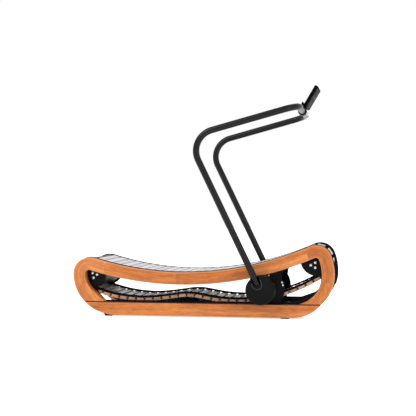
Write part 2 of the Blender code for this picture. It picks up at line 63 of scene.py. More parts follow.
# ---------------------------------------------------------------- sizes, as in the CAD source
LIFT = 0.007
GAP = 0.0003
SIDE_HALF = 0.300
WOOD_THICK = 0.067
PLATE_THICK = 0.006
BEAM = 0.080
JOINT_Z = 0.087 + LIFT
BELT_HALF = 0.2188
SLAT_PITCH = 0.057
SLAT_LENGTH = 0.051
SLAT_THICK = 0.021
DRIVE_THICK = 0.012
DRIVE_WIDTH = 0.030
DRIVE_Y = 0.198
CORD_DEPTH = 0.027
DRUM_R = 0.077
DRUM_WRAP = 0.111
FRONT_AXIS = Vector((0.725, 0.349 + LIFT))
REAR_AXIS = Vector((-0.742, 0.262 + LIFT))
DECK_R = 2.070
AXLE_R = 0.0125
ROLLER_COUNT = 12
ROLLER_R = 0.015
ROLLER_SHAFT_R = 0.007
RETURN_R = 0.022
RETURN_X = (-0.138, -0.062)
TUBE_R = 0.0212
HANDLE_Y = 0.394
HUB = Vector((0.397, 0.184 + LIFT))
HUB_R = 0.093
COVER_FACE = 0.4205
KNEE = Vector((-0.0735, 1.160 + LIFT))
KNEE_R = 0.137
BAR = Vector((0.635, 1.351 + LIFT))
BAR_CORNER_R = 0.100
TRAY_LEAN = math.radians(30.6)
TRAY_WIDTH = 0.270
TRAY_LENGTH = 0.186
TRAY_THICK = 0.024
TRAY_FACE = -0.0015
TRAY_FOOT = 0.029
BOLT_CIRCLE = 0.019
SLAT_SCREW_Y = 0.172
FOOT_Y = (0.250, 0.285)
STAND_Y = 0.150
STAND_BASE = 0.059
STAND_THICK = 0.005
PHOTO_SIDE = 416        # pixels
FOCAL_PIXELS = 1008
SIDE_PIXELS = 172       # how far the view is turned away from square to the machine's side
CLAMP_OFFSET = {"front": Vector((0.0, -0.011)), "rear": Vector((0.008, -0.004))}
CLAMP_TURN = {"front": 60, "rear": 12}
PROUD = 0.0039
FRONT_LOW_R = 0.245
FRONT_INNER_R = 0.190
FRONT_SIDE_R = 0.370
REAR_LOW_R = 0.263
POST_CENTRE = Vector((0.415, 0.187))
POST_R = 0.1215
LOBE_R = 0.103
FRONT_LOBE = Vector((0.742, 0.378))
REAR_LOBE = Vector((-0.760, 0.274))
SILL_Z = 0.095 + LIFT
POST_BOLTS = ((0.5190, 0.2305), (0.5250, 0.2140), (0.4330, 0.2750))
HUMP_Z = 0.119
PLATE_IN = SIDE_HALF - WOOD_THICK - GAP - PLATE_THICK
PLATE_OUT = SIDE_HALF - WOOD_THICK - GAP
SIDES = (("right", -1), ("left", 1))


# ---------------------------------------------------------------- outlines in the X-Z plane
def unit(angle):
    return Vector((math.cos(math.radians(angle)), math.sin(math.radians(angle))))


def arcs(start, angle, steps, spacing=2.0):
    """Points and outward directions along joined arcs; a negative radius is a hollow curve."""
    points = [(Vector(start), unit(angle))]
    for radius, end in steps:
        count = max(1, round(abs(end - angle) * max(1.0, abs(radius) / 0.6) / spacing))
        base = points[-1][0] - radius * unit(angle)
        for k in range(1, count + 1):
            facing = angle + (end - angle) * k / count
            points.append((base + radius * unit(facing), unit(facing)))
        angle = end
    return points


def angle_of(vector):
    return math.degrees(math.atan2(vector.y, vector.x)) % 360


def deck_centre():
    middle = (FRONT_AXIS + REAR_AXIS) / 2
    half = (FRONT_AXIS - REAR_AXIS) / 2
    height = math.sqrt((DECK_R + DRUM_WRAP) ** 2 - half.length_squared)
    return middle + Vector((-half.y, half.x)).normalized() * height


DECK = deck_centre()
WOOD_DECK_R = DECK_R + 0.001
FRONT_CORNER = Vector((0.742, 0.3655 + LIFT))
REAR_CORNER = Vector((-0.757, 0.272 + LIFT))


def corner_radius(corner):
    return (corner - DECK).length - WOOD_DECK_R


def hoop_steps():
    front_r = corner_radius(FRONT_CORNER)
    rear_r = corner_radius(REAR_CORNER)
    front_turn = angle_of(DECK - FRONT_CORNER)
    rear_turn = angle_of(DECK - REAR_CORNER)
    widest = widest_point()
    drop = math.degrees(math.asin((widest.y - JOINT_Z) / FRONT_LOW_R))
    start = widest + FRONT_LOW_R * (unit(-drop) - unit(0))
    rear_widest = REAR_CORNER + rear_r * unit(180)
    rear_drop = math.degrees(math.asin((rear_widest.y - JOINT_Z) / REAR_LOW_R))
    steps = [(FRONT_LOW_R, 0), (FRONT_SIDE_R, 20), (front_r, front_turn), (-WOOD_DECK_R, rear_turn),
             (rear_r, 180), (REAR_LOW_R, 180 + rear_drop)]
    return start, -drop, steps


def widest_point():
    side_top = FRONT_CORNER + corner_radius(FRONT_CORNER) * unit(20)
    return side_top + FRONT_SIDE_R * (unit(0) - unit(20))


def resampled(line, count):
    """The same line as this many points at equal distances."""
    lengths = [0.0]
    for a, b in zip(line, line[1:]):
        lengths.append(lengths[-1] + (b - a).length)
    spots = []
    index = 0
    for k in range(count):
        goal = lengths[-1] * k / (count - 1)
        while index < len(line) - 2 and lengths[index + 1] < goal:
            index += 1
        share = (goal - lengths[index]) / (lengths[index + 1] - lengths[index])
        spots.append(line[index].lerp(line[index + 1], share))
    return spots


def hoop_pairs():
    """Matching points on the hoop's outer and inner edges, from the front joint to the rear joint."""
    start, angle, steps = hoop_steps()
    outer = arcs(start, angle, steps)
    front_centre = widest_point() - Vector((FRONT_INNER_R + BEAM, 0))
    middle = [(p, p - BEAM * n) for p, n in outer if -1e-6 <= angle_of(n) % 360 <= 180.001]
    first = [p for p, n in outer[:next(k for k, pn in enumerate(outer) if pn[0] == middle[0][0]) + 1]]
    last = [p for p, n in outer[next(k for k, pn in enumerate(outer) if pn[0] == middle[-1][0]):]]
    tip = math.degrees(math.asin((front_centre.y - JOINT_Z) / FRONT_INNER_R))
    low = arcs(front_centre + FRONT_INNER_R * unit(-tip), -tip, [(FRONT_INNER_R, -4)])
    inner_first = [p for p, _ in low] + [middle[0][1]]
    rear = arcs(middle[-1][1], 180, [(0.14, 227)])
    inner_last = [p for p, _ in rear] + [Vector((-0.645, JOINT_Z))]
    count = 26
    ahead = list(zip(resampled(first, count), resampled(inner_first, count)))
    behind = list(zip(resampled(last, count), resampled(inner_last, count)))
    return ahead[:-1] + middle + behind[1:]


PAIRS = hoop_pairs()


def runner_edge():
    top = JOINT_Z - GAP
    start, _, _ = hoop_steps()
    nose = arcs((0.583, LIFT), -90, [(0.255, -45), (0.29, -41)])
    tail = arcs((-0.575, LIFT), -90, [(0.25, -103.2), (0.57, -109.3), (0.21, -138)])
    front = [p for p, _ in nose if p.y < top - 0.002] + [Vector((start.x - 0.0005, top))]
    return [Vector((-0.7825, top))] + [p for p, _ in tail[::-1]] + front


def plate_outline():
    start, angle, steps = hoop_steps()
    outer = arcs(start, angle, steps)
    proud = [p + PROUD * n for p, n in outer if p.y > 0.19 + LIFT]
    low = [Vector((-0.792, 0.135)), Vector((-0.735, 0.075)), Vector((-0.640, 0.030))]
    nose = arcs((0.580, LIFT + 0.012), -90, [(0.240, -45), (0.262, -30)])
    return [p for p, _ in nose] + proud + low


INNER = [inner for _, inner in PAIRS]


def rear_window():
    top = [p + 0.004 * Vector((0, 1)) for p in INNER if -0.64 < p.x < 0.27 and p.y > 0.18]
    post = arcs(POST_CENTRE + POST_R * unit(200), 200, [(POST_R, 147)])
    lobe = arcs(REAR_LOBE + LOBE_R * unit(-66), -66, [(LOBE_R, 2)])
    low = [Vector((-0.700, 0.147)), Vector((-0.655, SILL_Z)), Vector((0.318, SILL_Z))]
    return low + [p for p, _ in post] + top + [p for p, _ in lobe[::-1]]


def front_window():
    top = [p + 0.004 * Vector((0, 1)) for p in INNER if 0.535 < p.x < 0.640 and p.y > 0.30]
    lobe = arcs(FRONT_LOBE + LOBE_R * unit(196), 196, [(LOBE_R, 272)])
    side = arcs((0.772, 0.262), 0, [(0.150, -58)])
    post = arcs(POST_CENTRE + POST_R * unit(34), 34, [(POST_R, -40)])
    neck = [Vector((0.521, 0.292))]
    left = [Vector((0.512, SILL_Z))] + [p for p, _ in post[::-1]] + neck
    right = [p for p, _ in lobe] + [p for p, _ in side] + [Vector((0.610, SILL_Z))]
    return left + top[::-1] + right


RETURN_ROUTE = [
    (-0.655, 0.1210), (-0.600, 0.1085), (-0.530, 0.0975), (-0.440, 0.0900), (-0.370, 0.0905),
    (-0.290, 0.0975), (-0.210, 0.1085), (-0.140, 0.1190), (-0.100, 0.1205), (-0.060, 0.1190),
    (0.010, 0.1070), (0.080, 0.0955), (0.160, 0.0885), (0.250, 0.0870), (0.340, 0.0935),
    (0.430, 0.1075), (0.520, 0.1325), (0.600, 0.1615), (0.670, 0.1925), (0.725, 0.2210)]


def smooth_run(points, per_span=3):
    ends = [2 * points[0] - points[1]] + points + [2 * points[-1] - points[-2]]
    run = []
    for a, b, c, d in zip(ends, ends[1:], ends[2:], ends[3:]):
        for k in range(per_span):
            t = k / per_span
            spot = 0.5 * (2 * b + (c - a) * t + (2 * a - 5 * b + 4 * c - d) * t * t
                          + (3 * b - a - 3 * c + d) * t ** 3)
            run.append(spot)
    return run + [points[-1]]


def belt_loop():
    start = angle_of(Vector((0.482, -0.876)))
    front = angle_of(DECK - FRONT_AXIS)
    rear = angle_of(DECK - REAR_AXIS)
    upper = arcs(FRONT_AXIS + DRUM_WRAP * unit(start - 360), start - 360,
                 [(DRUM_WRAP, front), (-DECK_R, rear), (DRUM_WRAP, 256)], spacing=3.0)
    lower = smooth_run([Vector((x, z + LIFT)) for x, z in RETURN_ROUTE])
    return [p for p, _ in upper] + lower


class Loop:
    """A closed line that can be read by distance along it and by depth inside it."""

    def __init__(self, points):
        self.points = points
        self.lengths = [0.0]
        for a, b in zip(points, points[1:] + points[:1]):
            self.lengths.append(self.lengths[-1] + (b - a).length)
        self.total = self.lengths[-1]

    def spot(self, distance):
        distance %= self.total
        index = next(k for k in range(len(self.points)) if self.lengths[k + 1] >= distance)
        a = self.points[index]
        b = self.points[(index + 1) % len(self.points)]
        share = (distance - self.lengths[index]) / (self.lengths[index + 1] - self.lengths[index])
        return a.lerp(b, share)

    def at(self, distance, depth):
        ahead = self.spot(distance + 0.012)
        behind = self.spot(distance - 0.012)
        along = (ahead - behind).normalized()
        return self.spot(distance) + (depth - CORD_DEPTH) * inward_of(along)


def inward_of(along):
    return Vector((-along.y, along.x))


def moved_in(points, depth):
    ring = points[-1:] + points + points[:1]
    return [b + depth * inward_of((c - a).normalized()) for a, b, c in zip(ring, ring[1:], ring[2:])]


BELT = Loop(moved_in(belt_loop(), CORD_DEPTH))
SLATS = round(BELT.total / SLAT_PITCH)
PITCH = BELT.total / SLATS


# ---------------------------------------------------------------- materials
def scatter(index, salt=0):
    """A fixed number from 0 to 1 that looks random."""
    value = math.sin(index * 12.9898 + salt * 78.233) * 43758.5453
    return value - math.floor(value)


class Look:
    """A procedural material: each call adds one node and gives back its output."""

    def __init__(self, name, roughness=0.5, metallic=0.0, **sockets):
        self.made = bpy.data.materials.new(name)
        self.made.use_nodes = True
        self.tree = self.made.node_tree
        self.shader = self.tree.nodes["Principled BSDF"]
        self.shader.inputs["Roughness"].default_value = roughness
        self.shader.inputs["Metallic"].default_value = metallic
        for socket, value in sockets.items():
            self.shader.inputs[socket.replace("_", " ")].default_value = value
        self.place = self.tree.nodes.new("ShaderNodeTexCoord").outputs["Object"]

    def node(self, kind, settings=None, **inputs):
        made = self.tree.nodes.new("ShaderNode" + kind)
        for key, value in (settings or {}).items():
            setattr(made, key, value)
        for key, value in inputs.items():
            socket = made.inputs[int(key[1:])] if key[0] == "_" else made.inputs[key.replace("_", " ")]
            if isinstance(value, bpy.types.NodeSocket):
                self.tree.links.new(value, socket)
            else:
                socket.default_value = value
        return made

    def scaled(self, scale, source=None):
        return self.node("Mapping", Vector=source or self.place, Scale=scale).outputs[0]

    def noise(self, scale, detail=4.0, source=None, distortion=0.0, rough=0.55):
        vector = self.scaled(scale, source) if isinstance(scale, tuple) else (source or self.place)
        size = 1.0 if isinstance(scale, tuple) else scale
        return self.node("TexNoise", Vector=vector, Scale=size, Detail=detail, Roughness=rough,
                         Distortion=distortion).outputs[0]

    def ramp(self, source, stops, constant=False):
        """Colours against a value; each stop is (position, colour or grey)."""
        made = self.node("ValToRGB", Fac=source)
        ramp = made.color_ramp
        ramp.interpolation = "CONSTANT" if constant else "LINEAR"
        while len(ramp.elements) > 1:
            ramp.elements.remove(ramp.elements[-1])
        for k, (position, colour) in enumerate(stops):
            stop = ramp.elements[0] if k == 0 else ramp.elements.new(position)
            stop.position = position
            shade = colour if isinstance(colour, tuple) else (colour, colour, colour)
            stop.color = (*shade, 1.0)
        return made.outputs[0]

    def mix(self, a, b, share, mode="MIX"):
        made = self.node("Mix", {"data_type": "RGBA", "blend_type": mode}, _0=share)
        for value, socket in ((a, made.inputs[6]), (b, made.inputs[7])):
            if isinstance(value, bpy.types.NodeSocket):
                self.tree.links.new(value, socket)
            else:
                socket.default_value = (*value, 1.0) if len(value) == 3 else value
        return made.outputs[2]

    def tint(self, colour, source, stops, share):
        """Multiply a colour by a ramp over a value."""
        return self.mix(colour, self.ramp(source, stops), share, "MULTIPLY")

    def maths(self, operation, a, b=0.0):
        return self.node("Math", {"operation": operation}, _0=a, _1=b).outputs[0]

    def times(self, a, b):
        return self.maths("MULTIPLY", a, b)

    def value_of(self, attribute):
        return self.node("Attribute", {"attribute_name": attribute}).outputs["Fac"]

    def moved(self, vector, offset):
        return self.node("VectorMath", {"operation": "ADD"}, _0=vector, _1=offset).outputs[0]

    def spread(self, source, low, high):
        """A 0 to 1 value spread over another range."""
        return self.node("MapRange", Value=source, _3=low, _4=high).outputs[0]

    def bump(self, height, distance, strength=1.0):
        normal = self.node("Bump", Height=height, Strength=strength, Distance=distance).outputs[0]
        self.tree.links.new(normal, self.shader.inputs["Normal"])

    def set(self, **sockets):
        for key, source in sockets.items():
            self.tree.links.new(source, self.shader.inputs[key.replace("_", " ")])
        return self.made


GRAIN_SPAN = 4.0    # metres of grain that the wood's colour ramps cover


def shaded(colour, factor, lift=0.0):
    return tuple(min(1.0, c * factor + lift) for c in colour)


def wood_look(name, tones, light, dark, joints):
    """Oiled hardwood: grain runs along the mesh's own grain attribute, in glued lengths of differing tone."""
    look = Look(name, Coat_Weight=0.04, Coat_Roughness=0.28, Specular_IOR_Level=0.20)
    grain = look.node("Attribute", {"attribute_name": "grain"}).outputs["Vector"]
    # edge: weight of the painted highlight on the rounded edges, written by the hoop and runner builders
    edge = look.value_of("edge")
    along = look.node("SeparateXYZ", Vector=grain).outputs[0]
    share = look.maths("DIVIDE", along, GRAIN_SPAN)
    tone = look.ramp(share, [(p / GRAIN_SPAN, t) for p, t in tones], constant=True)
    shifted = look.moved(grain, look.mix((0, 0, 0), (3.1, 1.7, 2.3), tone))
    figure = look.noise((1.6, 26.0, 17.0), 5.0, shifted, 0.9)
    fibre = look.noise((7.0, 420.0, 300.0), 3.0, shifted)
    pores = look.noise((42.0, 1150.0, 800.0), 2.0, shifted)
    cloud = look.noise((3.2, 6.0, 5.0), 3.0, shifted, 1.5)
    body = look.ramp(figure, [(0.30, dark), (0.50, tuple((a + b) / 2 for a, b in zip(light, dark))),
                              (0.68, light)])
    body = look.tint(body, fibre, [(0.35, 0.72), (0.65, 1.12)], 0.75)
    body = look.tint(body, cloud, [(0.30, (0.86, 0.84, 0.82)), (0.70, (1.06, 1.05, 1.03))], 0.8)
    mottle = look.noise((20.0, 62.0, 48.0), 3.0, shifted, 0.6)
    body = look.tint(body, mottle, [(0.36, (0.84, 0.80, 0.76)), (0.62, (1.07, 1.07, 1.08))], 0.85)
    body = look.tint(body, tone, [(0.0, (0.80, 0.72, 0.62)), (0.5, (1.0, 1.0, 1.0)),
                                  (1.0, (1.20, 1.38, 1.95))], 0.9)
    pore_mask = look.ramp(pores, [(0.30, 1.0), (0.40, 0.0)])
    body = look.mix(body, (0.20, 0.075, 0.028), look.times(pore_mask, 0.45))
    stops = [(0.0, 0.0)]
    for spot in joints:
        stops += [((spot + off) / GRAIN_SPAN, shade) for off, shade in
                  ((-0.0011, 0.0), (-0.0004, 1.0), (0.0004, 1.0), (0.0011, 0.0))]
    glue = look.ramp(share, stops)
    body = look.mix(body, (0.25, 0.09, 0.03), look.times(glue, 0.55))
    # Painted highlight: the rounded edges are pulled towards a lighter copy of the wood colour.
    body = look.mix(body, shaded(light, 1.25, 0.03), look.times(edge, 0.35))
    # Painted shadow: wood within a few millimetres of the hoop-to-runner joint height turns near-black,
    # standing in for the shade in the gap between the two parts.
    up = look.node("SeparateXYZ", Vector=look.place).outputs[2]
    height_off = look.maths("ABSOLUTE", look.maths("SUBTRACT", up, JOINT_Z))
    painted_joint_shadow = look.ramp(look.times(height_off, 100.0), [(0.0, 1.0), (0.32, 1.0), (0.42, 0.0)])
    body = look.mix(body, (0.018, 0.007, 0.004), painted_joint_shadow)
    rough = look.spread(look.noise((9.0, 60.0, 60.0), 3.0, shifted), 0.34, 0.50)
    height = look.maths("SUBTRACT", look.times(fibre, 0.5), look.maths("ADD", pore_mask, glue))
    look.bump(height, 0.00025, 0.55)
    return look.set(Base_Color=body, Roughness=rough)


def coated(name, colour, rough, grain=900.0, depth=0.00012, wear=0.25, metallic=0.0, **sockets):
    """Paint, moulded plastic or rubber: fine surface texture, faint dust and handling marks."""
    look = Look(name, metallic=metallic, **sockets)
    fine = look.noise(grain, 2.0)
    patch = look.noise(9.0, 5.0, distortion=0.6)
    dust = look.ramp(look.noise(46.0, 6.0, rough=0.7), [(0.50, 0.0), (0.72, 1.0)])
    shade = look.mix(shaded(colour, 1 - wear), shaded(colour, 1 + wear), patch)
    shade = look.mix(shade, shaded(colour, 1.7, 0.003), look.times(dust, wear))
    gloss = look.maths("ADD", look.spread(patch, rough - 0.06, rough + 0.06), look.times(dust, 0.10))
    look.bump(look.maths("ADD", fine, look.times(dust, 0.4)), depth, 0.6)
    return look.set(Base_Color=shade, Roughness=gloss)


def metal(name, colour, rough, stretch=(60.0, 900.0, 60.0), depth=0.00004, **sockets):
    """Bare metal with turning or brushing marks."""
    look = Look(name, metallic=1.0, **sockets)
    marks = look.noise(stretch, 3.0)
    haze = look.noise(30.0, 5.0, distortion=0.8)
    shade = look.mix(shaded(colour, 0.86), shaded(colour, 1.08), haze)
    gloss = look.maths("ADD", look.spread(haze, rough - 0.05, rough + 0.08), look.spread(marks, -0.04, 0.04))
    look.bump(marks, depth, 0.5)
    return look.set(Base_Color=shade, Roughness=gloss)


def tread_look():
    """Pale grey running surface: fine pebble texture, foot scuffs, and a little difference between slats."""
    look = Look("slat_tread_look", Specular_IOR_Level=0.45)
    tone = look.value_of("tone")
    pebble = look.node("TexVoronoi", Vector=look.place, Scale=520.0).outputs["Distance"]
    marks = look.noise((22.0, 5.0, 22.0), 6.0, distortion=1.2, rough=0.65)
    scuff = look.ramp(marks, [(0.42, 0.0), (0.75, 1.0)])
    shade = look.mix((0.50, 0.525, 0.570), (0.62, 0.640, 0.680), tone)
    shade = look.mix(shade, (0.40, 0.41, 0.43), look.times(scuff, 0.40))
    shade = look.tint(shade, pebble, [(0.0, 1.05), (0.6, 0.90)], 0.7)
    rough = look.spread(scuff, 0.42, 0.60)
    look.bump(pebble, 0.0003, 0.5)
    return look.set(Base_Color=shade, Roughness=rough)


def slat_wood_look():
    """The slats' wood: end grain on their ends, straight grain along their sides."""
    look = Look("slat_wood_look", Specular_IOR_Level=0.35)
    tone = look.value_of("tone")
    offset = look.moved(look.place, look.mix((0, 0, 0), (4.0, 9.0, 6.0), tone))
    rings = look.noise((210.0, 9.0, 160.0), 4.0, offset, 0.8)
    fibre = look.noise((1300.0, 30.0, 1300.0), 2.0, offset)
    shade = look.ramp(rings, [(0.32, (0.330, 0.165, 0.100)), (0.62, (0.560, 0.310, 0.195))])
    shade = look.tint(shade, tone, [(0.0, (0.80, 0.76, 0.74)), (1.0, (1.14, 1.14, 1.12))], 1.0)
    shade = look.tint(shade, fibre, [(0.35, 0.78), (0.65, 1.10)], 0.6)
    look.bump(fibre, 0.0002, 0.5)
    return look.set(Base_Color=shade, Roughness=look.spread(rings, 0.45, 0.62))


def pair_distance():
    """Distance along the hoop's beam at each pair of edge points."""
    marks = [0.0]
    for (a, b), (c, d) in zip(PAIRS, PAIRS[1:]):
        marks.append(marks[-1] + ((c + d) / 2 - (a + b) / 2).length)
    return marks


MARKS = pair_distance()


def mark_near(x, z):
    spots = [((a + b) / 2 - Vector((x, z))).length for a, b in PAIRS]
    return MARKS[spots.index(min(spots))]


HOOP_JOINTS = [mark_near(x, z) for x, z in (
    (0.800, 0.230), (0.700, 0.400), (0.353, 0.290), (-0.152, 0.220), (-0.640, 0.310), (-0.800, 0.235))]
TONES = (0.50, 0.36, 0.60, 0.22, 0.48, 0.92, 0.80)
HOOP_TONES = list(zip([0.0] + HOOP_JOINTS, TONES))
RUNNER_TONES = [(0.0, 0.45), (1.45, 0.62), (2.65, 0.36)]

WOOD_LIGHT = (0.600, 0.208, 0.053)
WOOD_DARK = (0.370, 0.104, 0.021)
LOOKS = {
    "hoop": wood_look("hoop_wood_look", HOOP_TONES, WOOD_LIGHT, WOOD_DARK, HOOP_JOINTS),
    "runner": wood_look("runner_wood_look", RUNNER_TONES, WOOD_LIGHT, WOOD_DARK, [1.45, 2.65]),
    "tread": tread_look(),
    "slat": slat_wood_look(),
    "backing": coated("slat_backing_look", (0.830, 0.850, 0.890), 0.30, 400.0, 0.0001, 0.10,
                      Specular_IOR_Level=0.7),
    "steel": coated("black_steel_look", (0.0022, 0.0022, 0.0024), 0.42, 1500.0, 0.0001,
                    Specular_IOR_Level=0.08),
    "rubber": coated("black_rubber_look", (0.0022, 0.0022, 0.0024), 0.62, 1100.0, 0.0002, 0.35,
                     Specular_IOR_Level=0.05),
    "tube": coated("gloss_tube_look", (0.0020, 0.0020, 0.0022), 0.30, 700.0, 0.00005, 0.18,
                   Specular_IOR_Level=0.22),
    "plastic": coated("black_plastic_look", (0.0028, 0.0029, 0.0031), 0.50, 1300.0, 0.00018, 0.22,
                      Specular_IOR_Level=0.08),
    "tray": coated("tray_plastic_look", (0.0020, 0.0020, 0.0022), 0.46, 1000.0, 0.0001, 0.22,
                   Specular_IOR_Level=0.015),
    # lip: the cover's black plastic made about ten times lighter, a painted highlight along the notch's rim
    "lip": coated("cover_lip_painted_highlight_look", (0.0300, 0.0305, 0.0320), 0.42, 1300.0, 0.0001, 0.20,
                  Specular_IOR_Level=0.25),
    "zinc": metal("zinc_steel_look", (0.80, 0.79, 0.77), 0.30),
}


# ---------------------------------------------------------------- pieces
def piece(name, mesh, look, body="frame", stands_for=(), smooth=32):
    """Turn a bmesh into a piece that rides on a body and stands for CAD nodes."""
    bmesh.ops.recalc_face_normals(mesh, faces=mesh.faces)
    data = bpy.data.meshes.new(name)
    mesh.to_mesh(data)
    mesh.free()
    data.shade_smooth()
    data.set_sharp_from_angle(angle=math.radians(smooth))
    made = bpy.data.objects.new(name, data)
    data.materials.append(LOOKS[look])
    bpy.context.scene.collection.objects.link(made)
    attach(made, body)
    if stands_for:
        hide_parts(*stands_for)
    return made


def ring_faces(mesh, a, b):
    """Faces between two rings with the same number of points; a ring may be one repeated point."""
    count = len(a)
    for k in range(count):
        j = (k + 1) % count
        corners = []
        for vert in (a[k], a[j], b[j], b[k]):
            if vert not in corners:
                corners.append(vert)
        if len(corners) > 2:
            mesh.faces.new(corners)


def loft(mesh, rings):
    """Join rings in turn and close both ends."""
    for a, b in zip(rings, rings[1:]):
        ring_faces(mesh, a, b)
    mesh.faces.new(rings[0])
    mesh.faces.new(rings[-1][::-1])


def add_lathe(mesh, profile, frame_matrix, sides=48, closed=False, hexes=()):
    """Turn a profile of (radius, height) round local Z; rings whose index is in hexes are hexagonal."""
    rings = []
    for index, (radius, height) in enumerate(profile):
        if radius == 0:
            rings.append([mesh.verts.new(frame_matrix @ Vector((0, 0, height)))] * sides)
            continue
        ring = []
        for k in range(sides):
            angle = math.tau * k / sides
            reach = radius
            if index in hexes:
                reach = radius * math.cos(math.pi / 6) / math.cos(angle % (math.pi / 3) - math.pi / 6)
            spot = Vector((reach * math.cos(angle), reach * math.sin(angle), height))
            ring.append(mesh.verts.new(frame_matrix @ spot))
        rings.append(ring)
    for a, b in zip(rings, rings[1:] + (rings[:1] if closed else [])):
        ring_faces(mesh, a, b)


def across(centre, y=0.0, flip=1):
    """Matrix whose local Z runs along +Y (or -Y when flipped) from a point in the X-Z plane."""
    turn = Matrix.Rotation(math.radians(-90 * flip), 4, "X")
    return Matrix.Translation((centre[0], y, centre[1])) @ turn


def along_line(origin, direction):
    turn = Vector((0, 0, 1)).rotation_difference(Vector(direction)).to_matrix().to_4x4()
    return Matrix.Translation(origin) @ turn


def rounded(profile, radius, steps=3):
    """Round the corners of an open (radius, height) profile, except its two ends."""
    points = [Vector(p) for p in profile]
    made = [points[0]]
    for a, b, c in zip(points, points[1:], points[2:]):
        first = a - b
        last = c - b
        reach = min(radius, first.length * 0.45, last.length * 0.45)
        if reach < 1e-5 or abs(first.normalized().dot(last.normalized())) > 0.999:
            made.append(b)
            continue
        start = b + first.normalized() * reach
        stop = b + last.normalized() * reach
        for k in range(steps + 1):
            t = k / steps
            made.append(start * (1 - t) ** 2 + b * 2 * t * (1 - t) + stop * t * t)
    made.append(points[-1])
    return [(max(0.0, p.x), p.y) for p in made]


def lathe(name, profile, place, look, body="frame", stands_for=(), sides=48, edge=None, closed=False,
          hexes=(), smooth=32):
    mesh = bmesh.new()
    add_lathe(mesh, rounded(profile, edge) if edge else profile, place, sides, closed, hexes)
    return piece(name, mesh, look, body, stands_for, smooth)


def mirrored(half):
    """A (radius, height) profile and its mirror image."""
    return half + [(r, -y) for r, y in half[::-1]]


def flat_cut(name, outlines, low, high, look, edge=0.0008, body="frame", stands_for=(), matrix=None, steps=2):
    """A plate or block cut to an outline with holes, with rounded edges.

    The outline lies in the X-Z plane and the piece runs from Y=low to Y=high, unless a matrix places it.
    """
    curve = bpy.data.curves.new(name, "CURVE")
    curve.dimensions = "2D"
    curve.fill_mode = "BOTH"
    curve.extrude = (high - low) / 2 - edge
    curve.bevel_depth = edge
    curve.bevel_resolution = steps
    curve.offset = -edge
    for index, outline in enumerate(outlines):
        area = sum(a[0] * b[1] - b[0] * a[1] for a, b in zip(outline, outline[1:] + outline[:1]))
        wanted = 1 if index == 0 else -1
        line = list(outline) if area * wanted > 0 else list(outline)[::-1]
        spline = curve.splines.new("POLY")
        spline.points.add(len(line) - 1)
        for point, spot in zip(spline.points, line):
            point.co = (spot[0], spot[1], 0.0, 1.0)
        spline.use_cyclic_u = True
    holder = bpy.data.objects.new(name + "_line", curve)
    bpy.context.scene.collection.objects.link(holder)
    bpy.context.view_layer.update()
    data = bpy.data.meshes.new_from_object(holder.evaluated_get(bpy.context.evaluated_depsgraph_get()))
    bpy.data.objects.remove(holder, do_unlink=True)
    mesh = bmesh.new()
    mesh.from_mesh(data)
    bpy.data.meshes.remove(data)
    for face in mesh.faces:
        face.material_index = 0
    bmesh.ops.remove_doubles(mesh, verts=mesh.verts, dist=2e-6)
    place = matrix or Matrix.Translation((0, (low + high) / 2, 0)) @ Matrix.Rotation(math.radians(90), 4, "X")
    bmesh.ops.transform(mesh, matrix=place, verts=mesh.verts)
    return piece(name, mesh, look, body, stands_for)


def add_block(mesh, corners_low, corners_high):
    """A closed block between two outlines with the same number of points."""
    a = [mesh.verts.new(p) for p in corners_low]
    b = [mesh.verts.new(p) for p in corners_high]
    ring_faces(mesh, a, b)
    mesh.faces.new(a)
    mesh.faces.new(b[::-1])


def add_bolt(mesh, place, radius, height, sides=24):
    """Button-head bolt on a washer, with a hexagonal socket; local Z points out of the surface."""
    washer = 0.0012
    disc = [(0, 0), (radius * 1.3, 0), (radius * 1.3, washer), (0, washer)]
    add_lathe(mesh, rounded(disc, 0.0003), place, sides)
    dome = [(0, washer), (radius, washer), (radius, washer + height * 0.35)]
    for k in range(1, 5):
        angle = math.radians(20 + 14 * k)
        dome.append((radius * math.cos(angle) * 1.02, washer + height * (0.35 + 0.65 * math.sin(angle))))
    top = dome[-1][1]
    dome += [(radius * 0.46, top), (radius * 0.44, top - height * 0.5), (0, top - height * 0.55)]
    add_lathe(mesh, dome, place, sides, hexes=(len(dome) - 3, len(dome) - 2))


def bolts(name, places, look="zinc", body="frame", radius=0.0062, height=0.0048):
    mesh = bmesh.new()
    for place in places:
        add_bolt(mesh, place, radius, height)
    return piece(name, mesh, look, body)


def set_value(made, name, values):
    layer = made.data.attributes.new(name, "FLOAT", "POINT")
    layer.data.foreach_set("value", values)


def set_vector(made, name, values):
    layer = made.data.attributes.new(name, "FLOAT_VECTOR", "POINT")
    layer.data.foreach_set("vector", [c for value in values for c in value])


# ---------------------------------------------------------------- wood
def make_hoop(label, side):
    """The beam's rounded section swept round the hoop."""
    radius = 0.0075
    steps = 5
    low, high = sorted((side * (SIDE_HALF - WOOD_THICK), side * SIDE_HALF))
    corners = ((0, low, 180, 1, 1), (1, low, 270, -1, 1), (1, high, 0, -1, -1), (0, high, 90, 1, -1))
    mesh = bmesh.new()
    rings = []
    grain = []
    edges = []
    for (outer, inner), mark in zip(PAIRS, MARKS):
        width = (inner - outer).length
        way = (inner - outer) / width
        ring = []
        for end, y, turn, in_a, in_y in corners:
            for k in range(steps + 1):
                angle = math.radians(turn + 90 * k / steps)
                depth = end * width + in_a * radius + radius * math.cos(angle)
                out = y + in_y * radius + radius * math.sin(angle)
                spot = outer + way * depth
                ring.append(mesh.verts.new((spot.x, out, spot.y)))
                grain.append((mark, depth, out))
                # Rounded-corner vertices get weight 1 for the wood look's painted edge highlight.
                edges.append(1.0 if 0 < k < steps else 0.0)
        rings.append(ring)
    loft(mesh, rings)
    made = piece(f"hoop_{label}", mesh, "hoop", stands_for=[f"wood_hoop_{label}"])
    set_vector(made, "grain", grain)
    set_value(made, "edge", edges)


